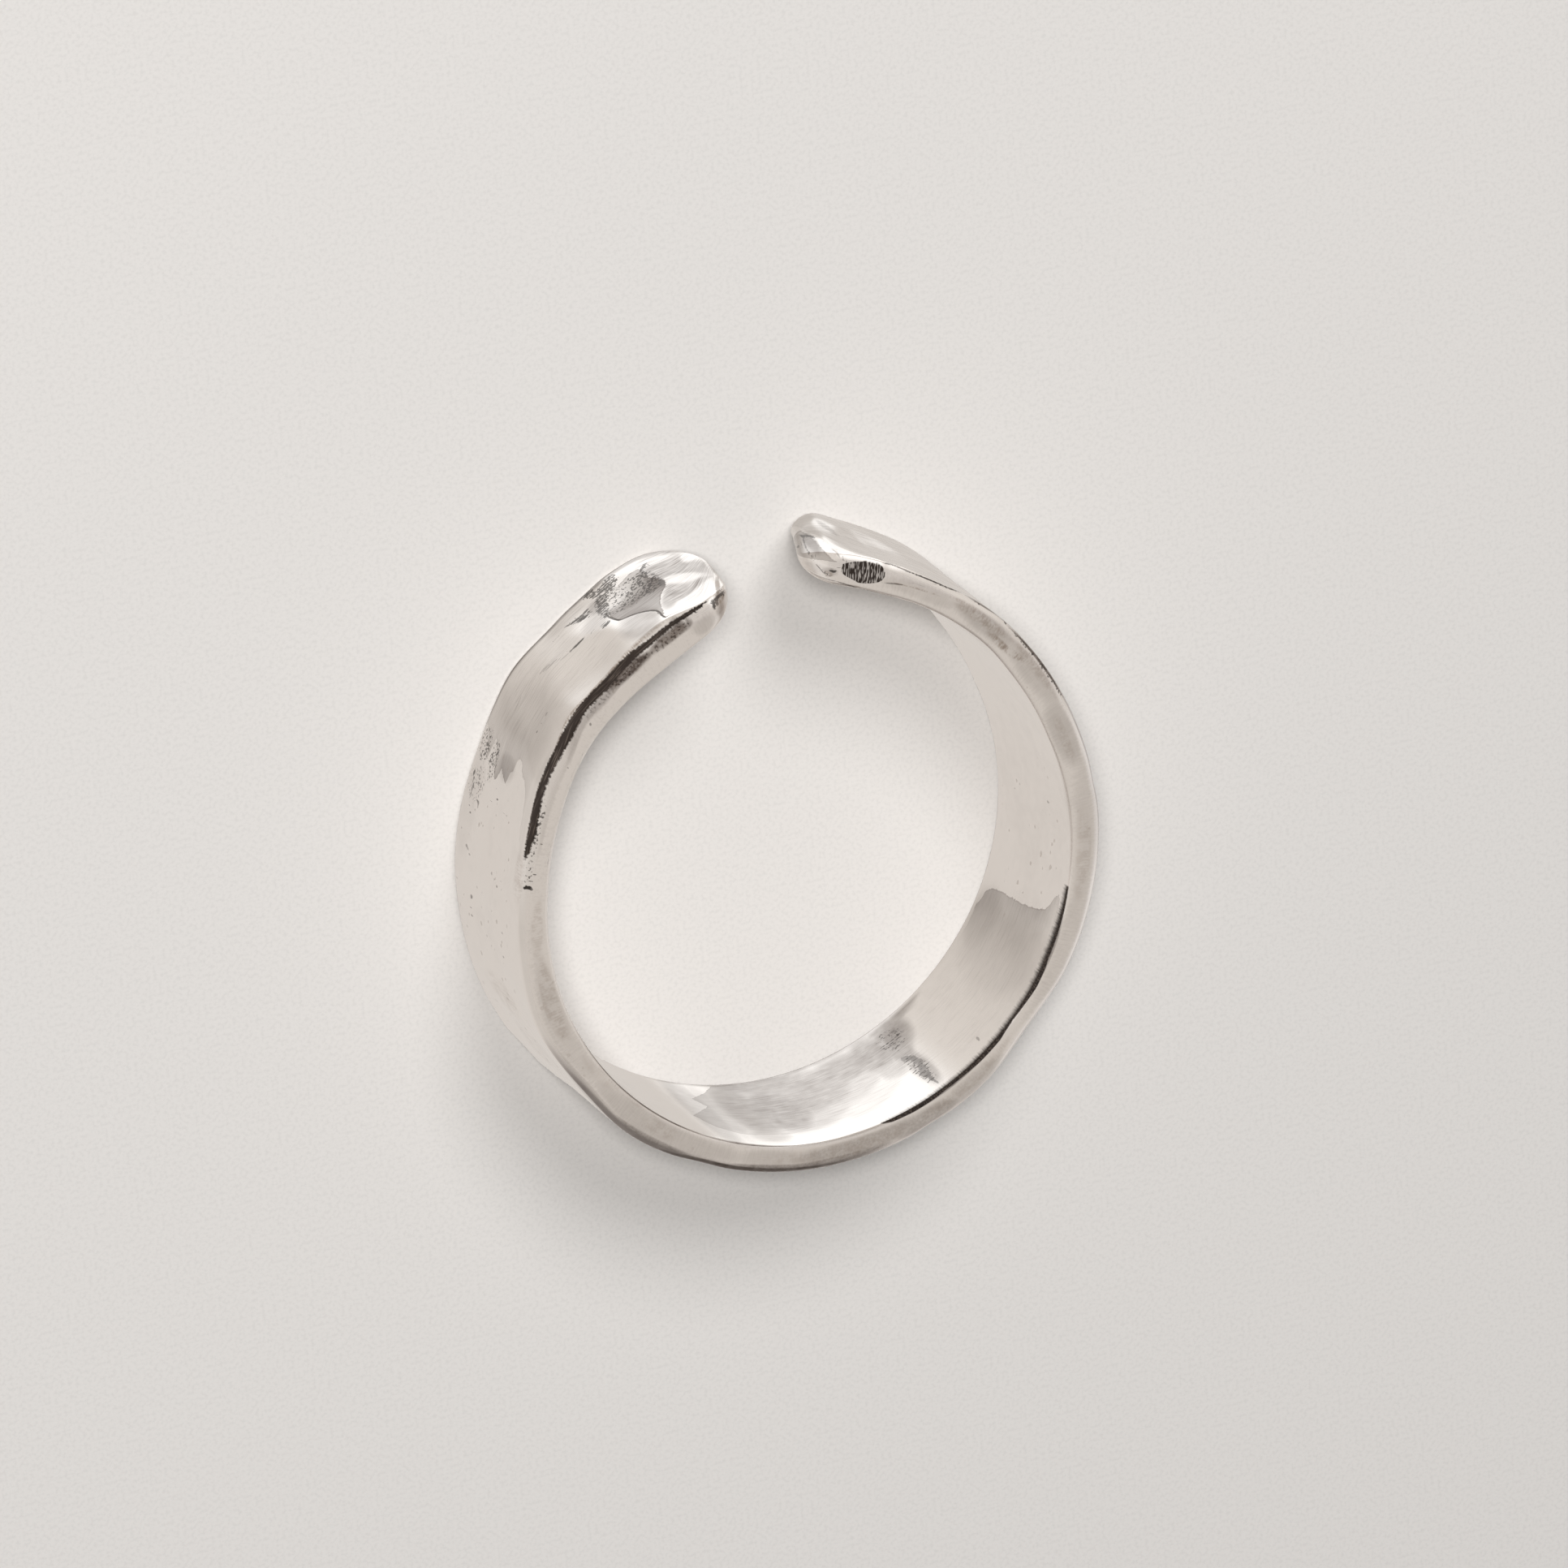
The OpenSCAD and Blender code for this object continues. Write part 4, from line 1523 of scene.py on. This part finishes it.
def silver_material(finish):
    """Hammered silver: polished and brushed face and wall, satin rims, and the wear, painted shade and
    painted dark reflections that the fields chart. The grain, the streaks and the pits are both colour and
    relief."""
    material, tree = new_material(SILVER)
    noise = silver_noises(tree, finish)
    satin, frost = field(tree, "satin"), field(tree, "frost")

    brown = faded(tree, shaken(tree, noise["cloud"], noise, scratched=0.9, fine=0.5), "brown")
    pit = faded(tree, shaken(tree, noise["pits"], noise, cloud=-1.2), "pit")
    pit = times(tree, pit, field(tree, "pitted"))
    bevel = shaken(tree, field(tree, "bevel_black"), noise, scratched=0.05, fine=0.04)
    bevel = faded(tree, bevel, "bevel")
    corner = faded(tree, shaken(tree, field(tree, "corner_black"), noise, scratched=0.06), "corner")
    flat = faded(tree, shaken(tree, field(tree, "flat"), noise, fine=0.05), "flat")
    lines = faded(tree, noise["lines"], "tool_line")
    dark, seam = dark_marks(tree, noise)

    colour = mixed(tree, satin, finish.silver, finish.satin_silver)
    # Painted shade: the silver is darkened towards the painted shade colour where its reflections are
    # painted darker, and along the brushed streaks
    colour = mixed(tree, light_left(tree, noise), finish.painted_shade, colour)
    # Brown tarnish, brown pits and the small dark marks are the metal's own. The bevel and the corner are
    # painted dark reflections, and the flat is partly a tool mark and partly a painted dark reflection.
    for cover, tone in (
        (times(tree, field(tree, "brown"), brown), finish.tarnish),
        (times(tree, pit, PIT_BROWN), finish.tarnish),
        (bevel, mixed(tree, faded(tree, noise["brushed"], "painted_band_mottle"), finish.black, finish.tarnish)),
        (corner, mixed(tree, times(tree, lines, CORNER_LINES), finish.marks_and_painted_dark, finish.tarnish)),
        (flat, mixed(tree, lines, finish.black, finish.silver)),
        (dark, finish.marks_and_painted_dark),
    ):
        colour = mixed(tree, cover, colour, tone)

    rough = total(
        tree,
        shaken(tree, finish.polish, noise, brushed=0.08),
        times(tree, satin, finish.satin - finish.polish),
        times(tree, frost, FROST_ROUGH),
    )
    relief = total(
        tree,
        times(tree, noise["fine"], total(tree, times(tree, frost, FROST_RELIEF), satin)),
        times(tree, noise["brushed"], STROKE_RELIEF),
        times(tree, noise["scratched"], total(tree, satin, flat), STROKE_RELIEF),
        times(tree, pit, -PIT_RELIEF),
        times(tree, seam, -SEAM_RELIEF),
    )
    bump = {"Height": relief, "Distance": finish.relief, "Strength": 1.0}
    shader = {
        "Metallic": 1,
        "Base Color": colour,
        "Roughness": rough,
        "Normal": add_node(tree, "ShaderNodeBump", bump).outputs[0],
    }
    connect(tree, tree.nodes["Principled BSDF"], shader)
    return material


class RING_OT_band(bpy.types.Operator):
    """Build the hammered band and its silver finish"""

    bl_idname = "ring.band"
    bl_label = "Hammered Band"

    def execute(self, context):
        shape, finish = context.scene.ring_shape, context.scene.ring_finish
        band = placed("band_silver", strip_mesh(strip_grid(shape)))
        marks, lowest, stretch = mark_cloud(shape)
        tree = hammer_tree()
        modifier = band.modifiers.new("Hammered Face", "NODES")
        modifier.node_group = tree
        set_input(modifier, tree, "Marks", marks)
        set_input(modifier, tree, "Lowest Floor", float(lowest))
        set_input(modifier, tree, "Arc Stretch", float(stretch))
        for name, _, source in HAMMER_INPUTS:
            set_input(modifier, tree, name, getattr(shape, source))
        set_input(modifier, tree, "Silver", silver_material(finish))
        made_plain(band)
        bpy.data.objects.remove(marks)
        if not band.data.polygons:
            raise RuntimeError("the band came out empty")
        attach(band, "root")
        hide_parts(BAND)
        return {"FINISHED"}


# The photograph shows the ring upright. These are the turn from the middle of the gap to the highest
# point there, and the camera's turn to the left of the front rim's axis and its height, in degrees.
STANDING_TURN = 6
VIEW_AZIMUTH = -21.6
VIEW_ELEVATION = 18.96
# Where the camera aims, in millimetres to the right of the ring's middle and above it in the picture
AIM_RIGHT = 0.213
AIM_UP = 2.032
# Width of the camera's sensor in millimetres, and the nearest and farthest it sees in metres
SENSOR_WIDTH = 36
NEAREST_SEEN = 0.01
FARTHEST_SEEN = 10


def standing_axes():
    """Side, front and up of the upright ring, in the frame where it lies on its back rim."""
    turn = math.radians(STANDING_TURN)
    up = Vector((math.sin(turn), math.cos(turn), 0))
    front = Vector((0, 0, 1))
    return up.cross(front), front, up


def standing_direction(azimuth, elevation):
    """A direction given as the upright ring saw it, in the frame where the ring lies."""
    side, front, up = standing_axes()
    turn, rise = math.radians(azimuth), math.radians(elevation)
    return math.cos(rise) * (math.sin(turn) * side + math.cos(turn) * front) + math.sin(rise) * up


def add_camera(studio, shape):
    """Camera at the photograph's angle to the ring."""
    away = standing_direction(VIEW_AZIMUTH, VIEW_ELEVATION)
    middle = Vector((0, 0, shape.band_width / 2))
    right = standing_axes()[2].cross(away).normalized()
    place = middle + studio.camera_distance * away
    aim = middle + MM * (AIM_RIGHT * right + AIM_UP * away.cross(right))
    back = (place - aim).normalized()
    right = away.cross(right).cross(back).normalized()
    data = bpy.data.cameras.new("camera")
    data.lens = studio.lens
    data.sensor_width = SENSOR_WIDTH
    data.clip_start, data.clip_end = NEAREST_SEEN, FARTHEST_SEEN
    camera = placed("camera", data)
    axes = Matrix((right, back.cross(right), back)).transposed()
    camera.matrix_world = Matrix.Translation(place) @ axes.to_4x4()
    bpy.context.scene.camera = camera


# What the silver mirrors of the studio round it, as the upright ring saw it: azimuth of the middle of
# each part and half its width, its lowest and highest elevation and how soft its edges are, in degrees,
# and its colour. Later parts stand in front of earlier ones.
DOME_BASE = (0.675, 0.635, 0.595)
DOME_PARTS = [
    ["front_paper", 0, 90, -95, 0, 30, (0.60, 0.565, 0.525)],
    ["side_paper", 100, 40, -40, 0, 15, (0.77, 0.745, 0.72)],
    ["wall", 180, 180, 0, 95, 4, (0.575, 0.535, 0.495)],
    ["wall_glow", 180, 180, 15, 95, 26, (0.725, 0.685, 0.64)],
    ["softbox", 170, 20, 14, 44, 8, (1.22, 1.21, 1.19)],
    ["window", 142, 18, 24, 62, 10, (1.45, 1.44, 1.42)],
    ["low_window", 151.5, 3, 3, 26, 3, (1.15, 1.13, 1.10)],
    ["lamp", 76, 24, 43, 72, 7, (1.20, 1.18, 1.15)],
    ["front_wall", 13, 47, 5, 64, 12, (0.60, 0.565, 0.535)],
    ["side_screen", -71, 29, -4, 44, 26, (0.86, 0.83, 0.80)],
    ["under_ring", 0, 180, -95, -58, 16, (0.34, 0.31, 0.29)],
]
# Radius of the dome in metres, and how many times its faces are divided
DOME_RADIUS = 1.0
DOME_FINENESS = 4


def dome_part(tree, azimuth, elevation, part):
    """How much a part of the dome covers of each direction."""
    _, middle, half, low, high, soft, _ = part

    def beyond(value, edge, side):
        """A soft step at an edge in degrees: up on its far side, or down if the side is -1."""
        reach = side * soft / 2
        return step(tree, value, math.radians(edge - reach), math.radians(edge + reach))

    covered = times(tree, beyond(elevation, low, 1), beyond(elevation, high, -1))
    if half < 180:
        off = calc(tree, "SUBTRACT", azimuth, math.radians(middle))
        off = calc(tree, "ABSOLUTE", calc(tree, "WRAP", off, math.pi, -math.pi))
        covered = times(tree, covered, beyond(off, half, -1))
    return covered


def add_dome():
    """A dome that only reflections see."""
    mesh = bpy.data.meshes.new("dome")
    made = bmesh.new()
    bmesh.ops.create_icosphere(made, subdivisions=DOME_FINENESS, radius=DOME_RADIUS)
    made.to_mesh(mesh)
    made.free()
    material, tree = new_material("dome")
    tree.nodes.clear()
    place = add_node(tree, "ShaderNodeTexCoord").outputs["Object"]
    toward = vector_calc(tree, "NORMALIZE", place)[0]
    side, front, up = (
        vector_calc(tree, "DOT_PRODUCT", toward, tuple(axis))["Value"] for axis in standing_axes()
    )
    azimuth = calc(tree, "ARCTAN2", side, front)
    elevation = calc(tree, "ARCSINE", up)
    colour = DOME_BASE
    for part in DOME_PARTS:
        colour = mixed(tree, dome_part(tree, azimuth, elevation, part), colour, part[-1])
    glow = add_node(tree, "ShaderNodeEmission", {"Color": colour}).outputs[0]
    connect(tree, tree.nodes.new("ShaderNodeOutputMaterial"), {0: glow})
    mesh.materials.append(material)
    dome = placed("dome", mesh)
    for ray in ("camera", "diffuse", "transmission", "shadow"):
        setattr(dome, "visible_" + ray, False)


# The paper: half its width, the size of its fibres, how light they are, its roughness and its shine
FLOOR_HALF = 2.0
PAPER_GRAIN = 0.00012
FIBRE_SHADE = 0.93
PAPER_ROUGHNESS = 0.95
PAPER_SHINE = 0.1


def add_floor(studio):
    """A plain sheet of pale paper with a fine grain."""
    mesh = bpy.data.meshes.new("floor")
    corners = [(x * FLOOR_HALF, y * FLOOR_HALF, 0) for x, y in ((-1, -1), (1, -1), (1, 1), (-1, 1))]
    mesh.from_pydata(corners, [], [(0, 1, 2, 3)])
    material, tree = new_material("paper")
    place = add_node(tree, "ShaderNodeTexCoord").outputs["Object"]
    fibre = faded(tree, grain(tree, place, PAPER_GRAIN, 3.0), "fibre")
    dark = tuple(FIBRE_SHADE * part for part in studio.floor_colour)
    shader = {
        "Base Color": mixed(tree, fibre, dark, studio.floor_colour),
        "Roughness": PAPER_ROUGHNESS,
        "Specular IOR Level": PAPER_SHINE,
    }
    connect(tree, tree.nodes["Principled BSDF"], shader)
    mesh.materials.append(material)
    floor = placed("floor", mesh)
    floor.visible_glossy = False


# The lights: their direction as the upright ring saw it, distance and size in metres and power in watts.
# None shows in the silver, which mirrors the dome alone.
LIGHTS = [
    ["fill", -21.6, 19.0, 0.60, 0.12, 2.40],
    ["key", -2.0, 40.0, 0.60, 0.26, 1.56],
]
WORLD_COLOUR = (0.79, 0.765, 0.745)


def add_lights():
    """A fill light by the camera, a key light from above, and a pale world round the floor."""
    world = bpy.data.worlds.new("studio")
    bpy.context.scene.world = world
    world.use_nodes = True
    world.node_tree.nodes["Background"].inputs["Color"].default_value = (*WORLD_COLOUR, 1)
    world.cycles_visibility.diffuse = False
    world.cycles_visibility.glossy = False
    for name, azimuth, elevation, distance, size, power in LIGHTS:
        data = bpy.data.lights.new(name, "AREA")
        data.shape = "DISK"
        data.size = size
        data.energy = power
        light = placed(name, data)
        away = standing_direction(azimuth, elevation)
        light.location = away * distance
        light.rotation_mode = "QUATERNION"
        light.rotation_quaternion = away.to_track_quat("Z", "Y")
        light.visible_glossy = False


class RING_OT_stage(bpy.types.Operator):
    """Lay the paper floor and set up the lights and the camera"""

    bl_idname = "ring.stage"
    bl_label = "Studio"

    def execute(self, context):
        studio, shape = context.scene.ring_studio, context.scene.ring_shape
        add_floor(studio)
        add_dome()
        add_lights()
        add_camera(studio, shape)
        context.scene.view_settings.view_transform = "Standard"
        return {"FINISHED"}


class RING_PT_panel(bpy.types.Panel):
    """Sizes, finish and studio of the hammered ring"""

    bl_idname = "RING_PT_panel"
    bl_label = "Hammered Ring"
    bl_space_type = "VIEW_3D"
    bl_region_type = "UI"
    bl_category = "Ring"

    def draw(self, context):
        for group, operator in (
            (context.scene.ring_shape, RING_OT_band),
            (context.scene.ring_finish, None),
            (context.scene.ring_studio, RING_OT_stage),
        ):
            box = self.layout.box()
            for name in group.__annotations__:
                box.prop(group, name)
            if operator:
                box.operator(operator.bl_idname)


CLASSES = (RingShape, SilverFinish, RingStudio, RING_OT_band, RING_OT_stage, RING_PT_panel)


def register():
    for each in CLASSES:
        bpy.utils.register_class(each)
    bpy.types.Scene.ring_shape = PointerProperty(type=RingShape)
    bpy.types.Scene.ring_finish = PointerProperty(type=SilverFinish)
    bpy.types.Scene.ring_studio = PointerProperty(type=RingStudio)


def unregister():
    for name in ("ring_studio", "ring_finish", "ring_shape"):
        delattr(bpy.types.Scene, name)
    for each in reversed(CLASSES):
        bpy.utils.unregister_class(each)


def main():
    register()
    bpy.ops.ring.band()
    bpy.ops.ring.stage()


if __name__ == "__main__":
    main()
